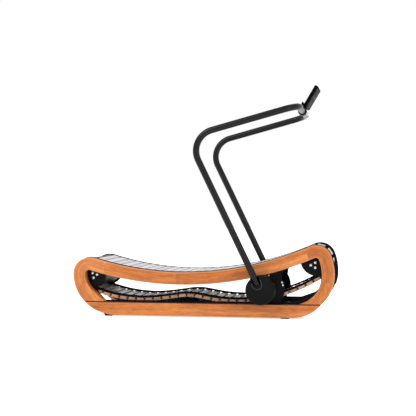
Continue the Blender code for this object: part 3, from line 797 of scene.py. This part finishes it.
def make_runner(label, side):
    low, high = sorted((side * (SIDE_HALF - WOOD_THICK), side * SIDE_HALF))
    line = runner_edge()
    top = [Vector((x / 40, JOINT_Z - GAP)) for x in range(30, -31, -1)]
    made = flat_cut(f"runner_{label}", [line + top], low, high, "runner", 0.0065,
                    stands_for=[f"wood_runner_{label}"], steps=4)
    set_vector(made, "grain", [(v.co.x + 1.6, v.co.z, v.co.y) for v in made.data.vertices])
    # Vertices on the rounded long edges get weight 1 for the wood look's painted edge highlight.
    set_value(made, "edge", [1.0 if 0.0005 < min(abs(v.co.y - low), abs(v.co.y - high)) < 0.006 else 0.0
                             for v in made.data.vertices])


# ---------------------------------------------------------------- belt
def slat_frame(index):
    """Start corner, direction along and direction inwards of one slat."""
    middle = (index + 0.5) * PITCH
    reach = SLAT_LENGTH / 2
    along = (BELT.spot(middle + reach) - BELT.spot(middle - reach)).normalized()
    inward = inward_of(along)
    return BELT.spot(middle) - CORD_DEPTH * inward - reach * along, along, inward


def add_slat_bar(mesh, index, outline, half, tone, tones):
    """One bar across the belt: an outline of (share along, depth), with softened ends."""
    start, along, inward = slat_frame(index)
    rings = []
    inset = 0.0012
    for y, shrink in ((-half, inset), (-half + inset, 0), (half - inset, 0), (half, inset)):
        middle_a = SLAT_LENGTH / 2
        middle_d = sum(d for _, d in outline) / len(outline)
        ring = []
        for a, depth in outline:
            a = middle_a + (a - middle_a) * (1 - shrink / 0.02)
            depth = middle_d + (depth - middle_d) * (1 - shrink / 0.009)
            spot = start + along * a + inward * depth
            ring.append(mesh.verts.new((spot.x, y, spot.y)))
            tones.append(tone)
        rings.append(ring)
    loft(mesh, rings)


def both_ends(line):
    """Half of a slat's outline, joined to its mirror image."""
    return line + [(SLAT_LENGTH - a, d) for a, d in line[::-1]]


def make_belt():
    tread_depth = 0.0011
    wood_depth = SLAT_THICK - 0.0016
    inset = 0.0022
    tread_line = [(inset, tread_depth), (inset, 0.0006), (inset + 0.0004, 0.0001), (inset + 0.0012, 0.0)]
    tread_line += [(SLAT_LENGTH * k / 9, 0.0 if k % 2 else 0.00030) for k in range(1, 5)]
    wood_line = [(0.0030, tread_depth), (0.0018, 0.0011), (0.0006, 0.0018), (0.0, 0.0040), (0.0006, 0.0052),
                 (0.0040, 0.0064), (0.0046, 0.0072), (0.0046, 0.0170), (0.0054, 0.0184), (0.0062, wood_depth)]
    back_line = [(0.0060, wood_depth), (0.0060, SLAT_THICK - 0.0002)]
    parts = (("treads", "tread", tread_line, BELT_HALF - 0.0002, 1),
             ("cores", "slat", wood_line, BELT_HALF - 0.0006, 2),
             ("backing", "backing", back_line, DRIVE_Y - DRIVE_WIDTH / 2 - 0.004, 1))
    for name, look, line, half, salt in parts:
        mesh = bmesh.new()
        tones = []
        for k in range(SLATS):
            add_slat_bar(mesh, k, both_ends(line), half, scatter(k, salt), tones)
        stands = ["slat_belt"] if name == "cores" else []
        made = piece(f"slat_{name}", mesh, look, stands_for=stands, smooth=40)
        set_value(made, "tone", tones)
    screws = bmesh.new()
    for k in range(SLATS):
        corner, along, inward = slat_frame(k)
        for y in (-SLAT_SCREW_Y, SLAT_SCREW_Y):
            for share in (0.28, 0.72):
                spot = corner + along * SLAT_LENGTH * share + inward * (SLAT_THICK - 0.0003)
                add_lathe(screws, [(0, 0), (0.0042, 0), (0.0034, 0.0016), (0.0012, 0.0020), (0, 0.0012)],
                          along_line((spot.x, y, spot.y), (inward.x, 0, inward.y)), 10)
    piece("slat_screws", screws, "zinc")


def make_drive_belt(label, side):
    """Rubber belt with lengthwise V ribs inside, and a shallow step under each slat."""
    low, high = sorted((side * (DRIVE_Y - DRIVE_WIDTH / 2), side * (DRIVE_Y + DRIVE_WIDTH / 2)))
    top = SLAT_THICK + GAP
    bottom = top + DRIVE_THICK
    width = high - low
    ribs = 6
    section = [(low, top + 0.001), (low, bottom - 0.003)]
    for k in range(ribs):
        left = low + 0.002 + (width - 0.004) * k / ribs
        step = (width - 0.004) / ribs
        section += [(left + step * 0.15, bottom - 0.0026), (left + step * 0.35, bottom - 0.0002),
                    (left + step * 0.65, bottom - 0.0002), (left + step * 0.85, bottom - 0.0026)]
    section += [(high, bottom - 0.003), (high, top + 0.001), (high - 0.001, top), (low + 0.001, top)]
    mesh = bmesh.new()
    rings = []
    steps = 5
    for k in range(SLATS):
        corner, along, inward = slat_frame(k)
        start = (k + 0.5) * PITCH - SLAT_LENGTH / 2
        for step in range(steps + 1):
            share = step / steps
            outer = corner + along * SLAT_LENGTH * share + inward * top
            inner = BELT.at(start + SLAT_LENGTH * share, bottom)
            lift = 0.0012 if step in (0, steps) else 0.0
            ring = []
            for y, depth in section:
                portion = (depth + (lift if depth < top + 0.002 else 0.0) - top) / DRIVE_THICK
                spot = outer.lerp(inner, portion)
                ring.append(mesh.verts.new((spot.x, y, spot.y)))
            rings.append(ring)
    for a, b in zip(rings, rings[1:] + rings[:1]):
        ring_faces(mesh, a, b)
    piece(f"ribbed_belt_{label}", mesh, "rubber", stands_for=[f"drive_belt_{label}"], smooth=28)


# ---------------------------------------------------------------- drums and rollers
def make_drum_set(place, axis):
    half = BELT_HALF - 0.004
    body = f"{place}_drum"
    groove = DRUM_R - 0.0022
    track = [(DRUM_R - 0.001, -half), (DRUM_R, -half + 0.001)]
    for y in (-DRIVE_Y, DRIVE_Y):
        for k in range(7):
            centre = y + (k - 3) * 0.0043
            if k < 6:
                track += [(DRUM_R, centre), (groove, centre + 0.0015), (groove, centre + 0.0028)]
            else:
                track += [(DRUM_R, centre)]
    track += [(DRUM_R, half - 0.001), (DRUM_R - 0.001, half)]
    web = 0.012
    inner = [(DRUM_R - 0.006, half), (DRUM_R - 0.007, half - web + 0.003), (0.040, half - web + 0.003),
             (0.037, half - 0.001), (0.0275, half), (0.0265, half - 0.001), (0.0265, half - 0.014),
             (DRUM_R - 0.005, half - 0.014)]
    lathe(f"{place}_roller_drum", track + mirrored(inner), across(axis), "steel", body, [f"{place}_drum"],
          sides=72, closed=True, smooth=30)
    face = half - web + 0.003
    spots = []
    for side in (-1, 1):
        for k in range(6):
            spot = axis + 0.056 * unit(60 * k + 15)
            spots.append(across(spot, side * face, side))
    bolts(f"{place}_drum_bolts", spots, "zinc", body, 0.0042, 0.0035)
    shaft_half = PLATE_IN - GAP
    groove_at = half + 0.004
    shaft = [(0, -shaft_half), (AXLE_R, -shaft_half), (AXLE_R, -groove_at - 0.0016),
             (AXLE_R - 0.0012, -groove_at - 0.0014), (AXLE_R - 0.0012, -groove_at),
             (AXLE_R, -groove_at + 0.0002)]
    lathe(f"{place}_axle_shaft", mirrored(shaft), across(axis), "zinc", stands_for=[f"{place}_axle"],
          sides=32, edge=0.0003)
    for label, side in SIDES:
        make_bearing(f"{place}_ball_bearing_{label}", f"{place}_bearing_{label}", axis, side, half)
        make_clamp(place, label, side, axis)


def make_bearing(name, node, axis, side, half):
    """Shielded ball bearing: two rings and a recessed shield."""
    low, high = half - 0.012, half - 0.0005
    ring = [(AXLE_R + GAP, low), (AXLE_R + GAP, high), (0.0165, high), (0.0168, high - 0.0012),
            (0.0222, high - 0.0012), (0.0225, high), (0.0258, high), (0.0262, high - 0.0006), (0.0262, low)]
    lathe(name, ring, across(axis, 0.0, side), "zinc", NODE_BODY[node], [node], closed=True, smooth=30)


def make_clamp(place, label, side, axis):
    middle = axis + CLAMP_OFFSET[place]
    start = PLATE_OUT + GAP
    pad = [(0, start), (0.030, start), (0.030, start + 0.0037), (0.0115, start + 0.0037),
           (0.0105, start + 0.0025), (0, start + 0.0025)]
    lathe(f"{place}_clamp_pad_{label}", pad, across(middle, 0.0, side), "steel",
          stands_for=[f"axle_clamp_{place}_{label}"], edge=0.0008)
    spots = []
    for k in range(3):
        spot = middle + BOLT_CIRCLE * unit(CLAMP_TURN[place] + 120 * k)
        spots.append(across(spot, side * (start + 0.0037), side))
    bolts(f"{place}_clamp_bolts_{label}", spots)


def make_rollers():
    end = PLATE_IN - 0.0008
    inner = DRIVE_Y - 0.011
    outer = DRIVE_Y + 0.011
    shaft = ROLLER_SHAFT_R
    side = [(0, -end), (shaft - 0.0006, -end), (shaft, -end + 0.0006), (shaft, -outer), (0.0105, -outer),
            (0.0108, -outer + 0.0008), (ROLLER_R - 0.0018, -outer + 0.0008), (ROLLER_R, -outer + 0.0030),
            (ROLLER_R, -inner - 0.0030), (ROLLER_R - 0.0018, -inner - 0.0008), (0.0108, -inner - 0.0008),
            (0.0105, -inner), (shaft, -inner)]
    front = angle_of(DECK - FRONT_AXIS) + 180
    rear = angle_of(DECK - REAR_AXIS) + 180
    depth = SLAT_THICK + GAP + DRIVE_THICK + 0.0007 + ROLLER_R
    for k in range(ROLLER_COUNT):
        angle = rear + (front - rear) * (k + 1.1) / (ROLLER_COUNT + 1.2)
        spot = DECK + (DECK_R + depth) * unit(angle)
        node = f"deck_roller_{k + 1:02d}"
        lathe(f"deck_wheels_{k + 1:02d}", mirrored(side), across(spot), "rubber", NODE_BODY[node], [node],
              sides=36, smooth=30)
    centre_z = HUMP_Z + LIFT - RETURN_R - 0.0025
    reach = STAND_Y + 0.006
    for place, x in zip(("rear", "front"), RETURN_X):
        node = f"return_roller_{place}"
        half = [(0, -reach), (0.0055, -reach), (0.006, -reach + 0.0005), (0.006, 0.002 - STAND_Y),
                (0.012, 0.002 - STAND_Y), (0.0125, 0.0032 - STAND_Y), (RETURN_R - 0.002, 0.0032 - STAND_Y),
                (RETURN_R, 0.0052 - STAND_Y), (RETURN_R, -0.052), (RETURN_R - 0.001, -0.051),
                (RETURN_R - 0.001, -0.049), (RETURN_R, -0.048)]
        lathe(f"support_{node}", mirrored(half), across((x, centre_z)), "rubber", NODE_BODY[node], [node],
              sides=40, smooth=30)
    for label, side_sign in SIDES:
        base = STAND_BASE + GAP
        outline = [(-0.172, base), (-0.028, base), (-0.040, centre_z + 0.010), (-0.160, centre_z + 0.010)]
        holes = [circle((x, centre_z), 0.0066, 28) for x in RETURN_X]
        holes += [circle((-0.100, centre_z - 0.004), 0.009, 28)]
        low, high = sorted((side_sign * STAND_Y, side_sign * (STAND_Y + STAND_THICK)))
        flat_cut(f"stand_{label}", [outline] + holes, low, high, "steel",
                 stands_for=[f"roller_stand_{label}"])


def circle(centre, radius, count):
    return [(centre[0] + radius * math.cos(math.tau * k / count),
             centre[1] + radius * math.sin(math.tau * k / count)) for k in range(count)]


# ---------------------------------------------------------------- steel frame and feet
def rounded_box(x, z, width, height, radius, steps=5):
    points = []
    for cx, cz, turn in ((1, 1, 0), (-1, 1, 90), (-1, -1, 180), (1, -1, 270)):
        for k in range(steps + 1):
            spot = unit(turn + 90 * k / steps) * radius
            points.append((x + cx * (width / 2 - radius) + spot.x, z + cz * (height / 2 - radius) + spot.y))
    return points


CROSS_TUBES = (("rear", -0.500, 0.052, 0.050, 0.040), ("middle", -0.100, 0.044, 0.060, 0.030),
               ("front", 0.520, 0.052, 0.050, 0.040), ("handle", 0.425, 0.226, 0.060, 0.050))


def make_frame():
    for label, side in SIDES:
        low, high = sorted((side * PLATE_IN, side * PLATE_OUT))
        flat_cut(f"plate_{label}", [plate_outline(), rear_window(), front_window()], low, high, "steel",
                 0.0009, stands_for=[f"side_plate_{label}"])
        spots = [across(spot, side * PLATE_OUT, side) for spot in POST_BOLTS]
        bolts(f"post_bolts_{label}", spots, radius=0.0046, height=0.0036)
    half = PLATE_IN - GAP
    for title, x, z, width, height in CROSS_TUBES:
        outer = rounded_box(x, z, width, height, 0.006)
        inner = rounded_box(x, z, width - 0.006, height - 0.006, 0.0035)
        flat_cut(f"tube_{title}", [outer, inner], -half, half, "steel", 0.0004,
                 stands_for=[f"cross_tube_{title}"])
    edge = runner_edge()
    for place, low, high in (("rear", -0.656, -0.592), ("front", 0.512, 0.576)):
        under = [p for p in edge if low < p.x < high and p.y < 0.05]
        top = [Vector((low, height_on(edge, low)))] + under + [Vector((high, height_on(edge, high)))]
        top = [p - Vector((0, GAP)) for p in top]
        base = [Vector((low + 0.004, top[0].y * 0.55)), Vector((low + 0.012, 0))]
        count = 5
        span = high - low - 0.024
        for k in range(1, count):
            x = low + 0.012 + span * k / count
            base += [Vector((x - 0.0022, 0)), Vector((x - 0.0016, 0.0022)), Vector((x + 0.0016, 0.0022)),
                     Vector((x + 0.0022, 0))]
        base += [Vector((high - 0.012, 0))]
        for label, side in SIDES:
            near, far = sorted(side * y for y in FOOT_Y)
            flat_cut(f"pad_{place}_{label}", [base + top[::-1]], near, far, "rubber", 0.0006,
                     stands_for=[f"foot_{place}_{label}"])


def height_on(edge, x):
    for a, b in zip(edge, edge[1:]):
        if min(a.x, b.x) <= x <= max(a.x, b.x) and a.y < 0.06 and b.y < 0.06:
            return a.y + (b.y - a.y) * (x - a.x) / (b.x - a.x)
    return LIFT


# ---------------------------------------------------------------- handlebar
def bend(before, corner, after, radius, count):
    first = (before - corner).normalized()
    last = (after - corner).normalized()
    half = first.angle(last) / 2
    centre = corner + (first + last).normalized() * radius / math.sin(half)
    reach = radius / math.tan(half)
    start = corner + first * reach - centre
    stop = corner + last * reach - centre
    total = start.angle(stop)
    axis = start.cross(stop).normalized()
    side = axis.cross(start)
    return [centre + start * math.cos(total * k / count) + side * math.sin(total * k / count)
            for k in range(count + 1)]


def handle_line():
    along = (HUB - KNEE).normalized()
    end = HUB - along * 0.012

    def place(point, side):
        return Vector((point.x, side * HANDLE_Y, point.y))
    right = place(end, -1)
    knee = place(KNEE, -1)
    corner = place(BAR, -1)
    middle = Vector((BAR.x, 0, BAR.y))
    half = [right] + bend(right, knee, corner, KNEE_R, 28) + bend(knee, corner, middle, BAR_CORNER_R, 22)
    mirrored = [Vector((p.x, -p.y, p.z)) for p in half[::-1]]
    return half + mirrored


def add_tube(mesh, line, radius, sides=36):
    """A round tube along a line, with its section carried along without twist."""
    tangents = [(b - a).normalized() for a, b in zip(line, line[1:])]
    normal = tangents[0].orthogonal().normalized()
    rings = []
    for k, spot in enumerate(line):
        before = tangents[max(0, k - 1)]
        after = tangents[min(k, len(tangents) - 1)]
        tangent = (before + after).normalized()
        normal = (normal - tangent * normal.dot(tangent)).normalized()
        other = tangent.cross(normal)
        ring = []
        for j in range(sides):
            angle = math.tau * j / sides
            ring.append(mesh.verts.new(spot + (normal * math.cos(angle) + other * math.sin(angle)) * radius))
        rings.append(ring)
    loft(mesh, rings)


def make_handle():
    mesh = bmesh.new()
    add_tube(mesh, handle_line(), TUBE_R)
    piece("handle_tube", mesh, "tube", stands_for=["handlebar"])
    up = (KNEE - HUB).normalized()
    for label, side in SIDES:
        inner = PLATE_OUT + GAP
        profile = [(0, inner), (0.074, inner), (0.074, inner + 0.008), (0.052, inner + 0.0095),
                   (0.046, inner + 0.016), (0.046, 0.402), (0, 0.402)]
        mount = lathe(f"mount_{label}", profile, across(HUB, 0.0, side), "steel",
                      stands_for=[f"handle_mount_{label}"], sides=72, edge=0.0016)
        cut(mount, capsule(side * HANDLE_Y, 0.011, 0.14, TUBE_R + 0.0006, side * 0.001), 0.0)
        spots = [across(HUB + 0.062 * unit(30 + 60 * k), side * (inner + 0.0082), side) for k in range(6)]
        bolts(f"mount_bolts_{label}", spots)
        edge = 0.0075
        bow = []
        for k in range(9):
            angle = math.radians(90 * k / 8)
            bow.append((HUB_R - edge + edge * math.cos(angle), COVER_FACE - edge + edge * math.sin(angle)))
        start = SIDE_HALF + 0.003
        cup = [(HUB_R - 0.0010, start), (HUB_R, start + 0.001)] + bow + [
            (HUB_R * 0.72, COVER_FACE - 0.0002), (HUB_R * 0.70, COVER_FACE - 0.0008),
            (0, COVER_FACE - 0.0008), (0, COVER_FACE - 0.0048), (HUB_R - 0.010, COVER_FACE - 0.0048),
            (HUB_R - 0.0042, COVER_FACE - 0.0105), (HUB_R - 0.0040, start)]
        mesh = bmesh.new()
        add_lathe(mesh, cup, across(HUB, 0.0, side), 96, closed=True)
        bmesh.ops.remove_doubles(mesh, verts=mesh.verts, dist=1e-6)
        cover = piece(f"cover_{label}", mesh, "plastic", stands_for=[f"hub_cover_{label}"], smooth=24)
        cut(cover, capsule(side * HANDLE_Y, 0.040, 0.16, TUBE_R + 0.0100, side * 0.014), 0.0016)
        mesh = bmesh.new()
        lip = TUBE_R + 0.0095
        foot = Vector((HUB.x + up.x * 0.040, side * (COVER_FACE - 0.0034), HUB.y + up.y * 0.040))
        across_way = Vector((up.y, 0, -up.x))
        up_way = Vector((up.x, 0, up.y))
        rim = []
        for k in range(17):
            angle = math.pi + math.pi * k / 16
            rim.append(foot + across_way * lip * math.cos(angle) + up_way * lip * math.sin(angle))
        reach = up_way * 0.024
        line = [rim[0] + reach] + rim + [rim[-1] + reach]
        add_tube(mesh, line, 0.0032, 12)
        # The rim bead uses the lighter lip material: a painted highlight round the notch.
        piece(f"cover_lip_{label}", mesh, "lip")


def capsule(y, low, high, radius, shift):
    """A cutter along the upright tube's line, drawn out sideways by shift."""
    along = (KNEE - HUB).normalized()
    mesh = bmesh.new()
    matrix = along_line((HUB.x, y, HUB.y), (along.x, 0, along.y))
    turn = matrix.to_3x3().inverted() @ Vector((0, 1, 0))
    rings = []
    sides = 40
    for height in (low, high):
        ring = []
        for k in range(sides):
            angle = math.tau * k / sides
            spot = Vector((radius * math.cos(angle), radius * math.sin(angle), height))
            if spot.dot(turn) * shift > 0:
                spot += turn * shift
            ring.append(mesh.verts.new(matrix @ spot))
        rings.append(ring)
    ring_faces(mesh, *rings)
    mesh.faces.new(rings[0])
    mesh.faces.new(rings[1][::-1])
    bmesh.ops.recalc_face_normals(mesh, faces=mesh.faces)
    data = bpy.data.meshes.new("cutter")
    mesh.to_mesh(data)
    mesh.free()
    made = bpy.data.objects.new("cutter", data)
    bpy.context.scene.collection.objects.link(made)
    return made


def cut(made, cutter, edge):
    """Take the cutter out of a piece, for good, and soften the new edges."""
    step = made.modifiers.new("cut", "BOOLEAN")
    step.solver = "EXACT"
    step.object = cutter
    if edge:
        soft = made.modifiers.new("soft", "BEVEL")
        soft.width = edge
        soft.segments = 3
        soft.limit_method = "ANGLE"
        soft.angle_limit = math.radians(50)
    bpy.context.view_layer.update()
    data = bpy.data.meshes.new_from_object(made.evaluated_get(bpy.context.evaluated_depsgraph_get()))
    made.modifiers.clear()
    old = made.data
    made.data = data
    data.name = made.name
    bpy.data.meshes.remove(old)
    bpy.data.objects.remove(cutter, do_unlink=True)
    data.shade_smooth()
    data.set_sharp_from_angle(angle=math.radians(28))


# ---------------------------------------------------------------- tablet holder
TRAY_ACROSS = Vector((math.cos(TRAY_LEAN), 0, -math.sin(TRAY_LEAN)))
TRAY_ALONG = Vector((math.sin(TRAY_LEAN), 0, math.cos(TRAY_LEAN)))


def leaning(x, y, z):
    """A point across, along Y and up the leaning tray, measured from the crossbar."""
    return Vector((BAR.x, y, BAR.y)) + TRAY_ACROSS * x + TRAY_ALONG * z


def tray_matrix(x):
    """Local X runs along Y, local Y up the tray, local Z towards its back."""
    rows = [Vector((0, 1, 0)), TRAY_ALONG, TRAY_ACROSS]
    turn = Matrix([[rows[c][r] for c in range(3)] for r in range(3)]).to_4x4()
    return Matrix.Translation(leaning(x, 0, 0)) @ turn


def make_tablet_holder():
    body = "tablet_holder"
    bore = TUBE_R + 0.0006
    ring_r = TUBE_R + 0.0073
    groove = ring_r - 0.0009
    ring = [(groove, -0.030), (ring_r, -0.0292), (ring_r, -0.010), (groove, -0.009), (groove, 0.009),
            (ring_r, 0.010), (ring_r, 0.0292), (groove, 0.030), (bore, 0.030), (bore, -0.030)]
    lathe("holder_clamp", ring, across(BAR), "plastic", body, ["tablet_clamp"], sides=64, closed=True,
          smooth=30)
    middle = TRAY_FACE + TRAY_THICK / 2
    neck_low = TUBE_R + 0.0030
    neck_high = TRAY_FOOT + 0.004
    neck = rounded_box(0, (neck_low + neck_high) / 2, 0.050, neck_high - neck_low, 0.0025)
    flat_cut("holder_neck", [neck], 0.003 - TRAY_THICK / 2, TRAY_THICK / 2 - 0.003, "plastic", 0.0012, body,
             matrix=tray_matrix(middle))
    height = TRAY_LENGTH - TRAY_FOOT
    centre = TRAY_FOOT + height / 2
    outline = rounded_box(0, centre, TRAY_WIDTH - 0.001, height - 0.001, 0.014)
    flat_cut("holder_tray", [outline], -TRAY_THICK / 2, TRAY_THICK / 2, "tray", 0.0035, body,
             ["tablet_tray"], tray_matrix(middle), steps=4)
    inner = rounded_box(0, centre, TRAY_WIDTH - 0.022, height - 0.022, 0.009)
    flat_cut("holder_panel", [inner], -0.0006, 0.0006, "rubber", 0.0005, body,
             matrix=tray_matrix(TRAY_FACE - 0.0001))
    back = TRAY_FACE + TRAY_THICK
    strip = rounded_box(0, centre + 0.010, TRAY_WIDTH * 0.62, 0.018, 0.005)
    flat_cut("holder_back_strip", [strip], -0.0005, 0.0005, "plastic", 0.0004, body,
             matrix=tray_matrix(back + 0.0001))
    mesh = bmesh.new()
    for k in range(5):
        z = TRAY_FOOT + 0.020 + 0.009 * k
        add_tube(mesh, [leaning(back - 0.0006, -0.070, z), leaning(back - 0.0006, 0.070, z)], 0.0014, 10)
    for y, z in ((-0.118, TRAY_FOOT + 0.014), (0.118, TRAY_FOOT + 0.014), (-0.118, TRAY_LENGTH - 0.014),
                 (0.118, TRAY_LENGTH - 0.014)):
        add_bolt(mesh, along_line(leaning(back - 0.0008, y, z), TRAY_ACROSS), 0.0030, 0.0018)
    piece("holder_ribs", mesh, "plastic", body, smooth=40)
    front = TRAY_FACE - GAP
    lip = front - 0.019
    section = [(front, 0.031), (front, 0.040), (lip + 0.0065, 0.040), (lip + 0.0052, 0.0415),
               (lip + 0.0045, 0.051), (lip + 0.0022, 0.0520), (lip + 0.0002, 0.0505), (lip, 0.034),
               (lip + 0.0025, 0.0312)]
    mesh = bmesh.new()
    rings = []
    for y, inset in ((-0.110, 0.0015), (-0.1085, 0.0), (0.1085, 0.0), (0.110, 0.0015)):
        mid = Vector((sum(s[0] for s in section), sum(s[1] for s in section))) / len(section)
        ring = []
        for x, z in section:
            spot = mid.lerp(Vector((x, z)), 1 - inset / 0.012)
            ring.append(mesh.verts.new(leaning(spot.x, y, spot.y)))
        rings.append(ring)
    loft(mesh, rings)
    piece("holder_ledge", mesh, "plastic", body, ["tablet_ledge"], smooth=35)
    mesh = bmesh.new()
    for k in range(-3, 4):
        pad = [leaning(front - d, k * 0.031 + w, 0.0401) for d, w in
               ((0.002, -0.009), (0.012, -0.009), (0.012, 0.009), (0.002, 0.009))]
        top = [leaning(front - d, k * 0.031 + w, 0.0414) for d, w in
               ((0.003, -0.008), (0.011, -0.008), (0.011, 0.008), (0.003, 0.008))]
        add_block(mesh, pad, top)
    piece("holder_grip_pads", mesh, "rubber", body)
    screw = leaning(ring_r + 0.0093, 0, 0.0)
    knob = [(0, -0.016), (0.0082, -0.016), (0.009, -0.0152), (0.009, -0.010), (0.0062, -0.0094),
            (0.0062, 0.0094), (0.009, 0.010), (0.009, 0.0152), (0.0082, 0.016), (0.0040, 0.016),
            (0.0038, 0.012), (0, 0.0118)]
    lathe("holder_screw", knob, across((screw.x, screw.z)), "zinc", body, ["clamp_screw"], sides=36,
          hexes=(9, 10), smooth=30)


# ---------------------------------------------------------------- stage
def area_light(name, place, aim, size, energy):
    data = bpy.data.lights.new(name, "AREA")
    data.shape = "DISK"
    data.size = size
    data.energy = energy
    made = bpy.data.objects.new(name, data)
    made.location = place
    made.rotation_euler = (Vector(aim) - Vector(place)).to_track_quat("-Z", "Y").to_euler()
    bpy.context.scene.collection.objects.link(made)


def make_stage():
    scene = bpy.context.scene
    scene.view_settings.view_transform = "Standard"
    world = bpy.data.worlds.new("studio")
    scene.world = world
    world.use_nodes = True
    sky = world.node_tree.nodes["Background"]
    sky.inputs["Color"].default_value = (1.0, 1.0, 1.0, 1.0)
    sky.inputs["Strength"].default_value = 1.0
    area_light("key", (-2.6, -3.2, 4.4), (0.0, 0.0, 0.3), 2.4, 120.0)
    area_light("fill", (3.2, -3.6, 2.2), (0.2, 0.0, 0.5), 2.0, 30.0)
    mesh = bmesh.new()
    reach = 30.0
    mesh.faces.new([mesh.verts.new(p) for p in ((-reach, -reach, 0), (reach, -reach, 0), (reach, reach, 0),
                                                (-reach, reach, 0))])
    data = bpy.data.meshes.new("floor")
    mesh.to_mesh(data)
    mesh.free()
    floor = bpy.data.objects.new("floor", data)
    scene.collection.objects.link(floor)
    look = Look("floor_look", roughness=0.9, Specular_IOR_Level=0.1, Emission_Color=(1.0, 1.0, 1.0, 1.0),
                Emission_Strength=0.55)
    shade = look.mix((0.90, 0.90, 0.90), (0.93, 0.93, 0.93), look.noise(2.0))
    data.materials.append(look.set(Base_Color=shade))


def make_camera():
    data = bpy.data.cameras.new("camera")
    data.sensor_width = 36.0
    data.lens = 36.0 * FOCAL_PIXELS / PHOTO_SIDE
    data.shift_y = 0.5 / PHOTO_SIDE
    data.clip_end = 100.0
    camera = bpy.data.objects.new("camera", data)
    camera.location = (1.145, -6.74, 0.702 + LIFT)
    camera.rotation_euler = (math.radians(90), 0, math.atan(SIDE_PIXELS / FOCAL_PIXELS))
    bpy.context.scene.collection.objects.link(camera)
    bpy.context.scene.camera = camera


NODE_BODY = {name: made.get("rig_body", "frame") for name, made in frame["nodes"].items()}
make_camera()
make_stage()
for label, side in SIDES:
    make_hoop(label, side)
    make_runner(label, side)
    make_drive_belt(label, side)
make_belt()
make_frame()
make_drum_set("front", FRONT_AXIS)
make_drum_set("rear", REAR_AXIS)
make_rollers()
make_handle()
make_tablet_holder()
bpy.context.view_layer.update()
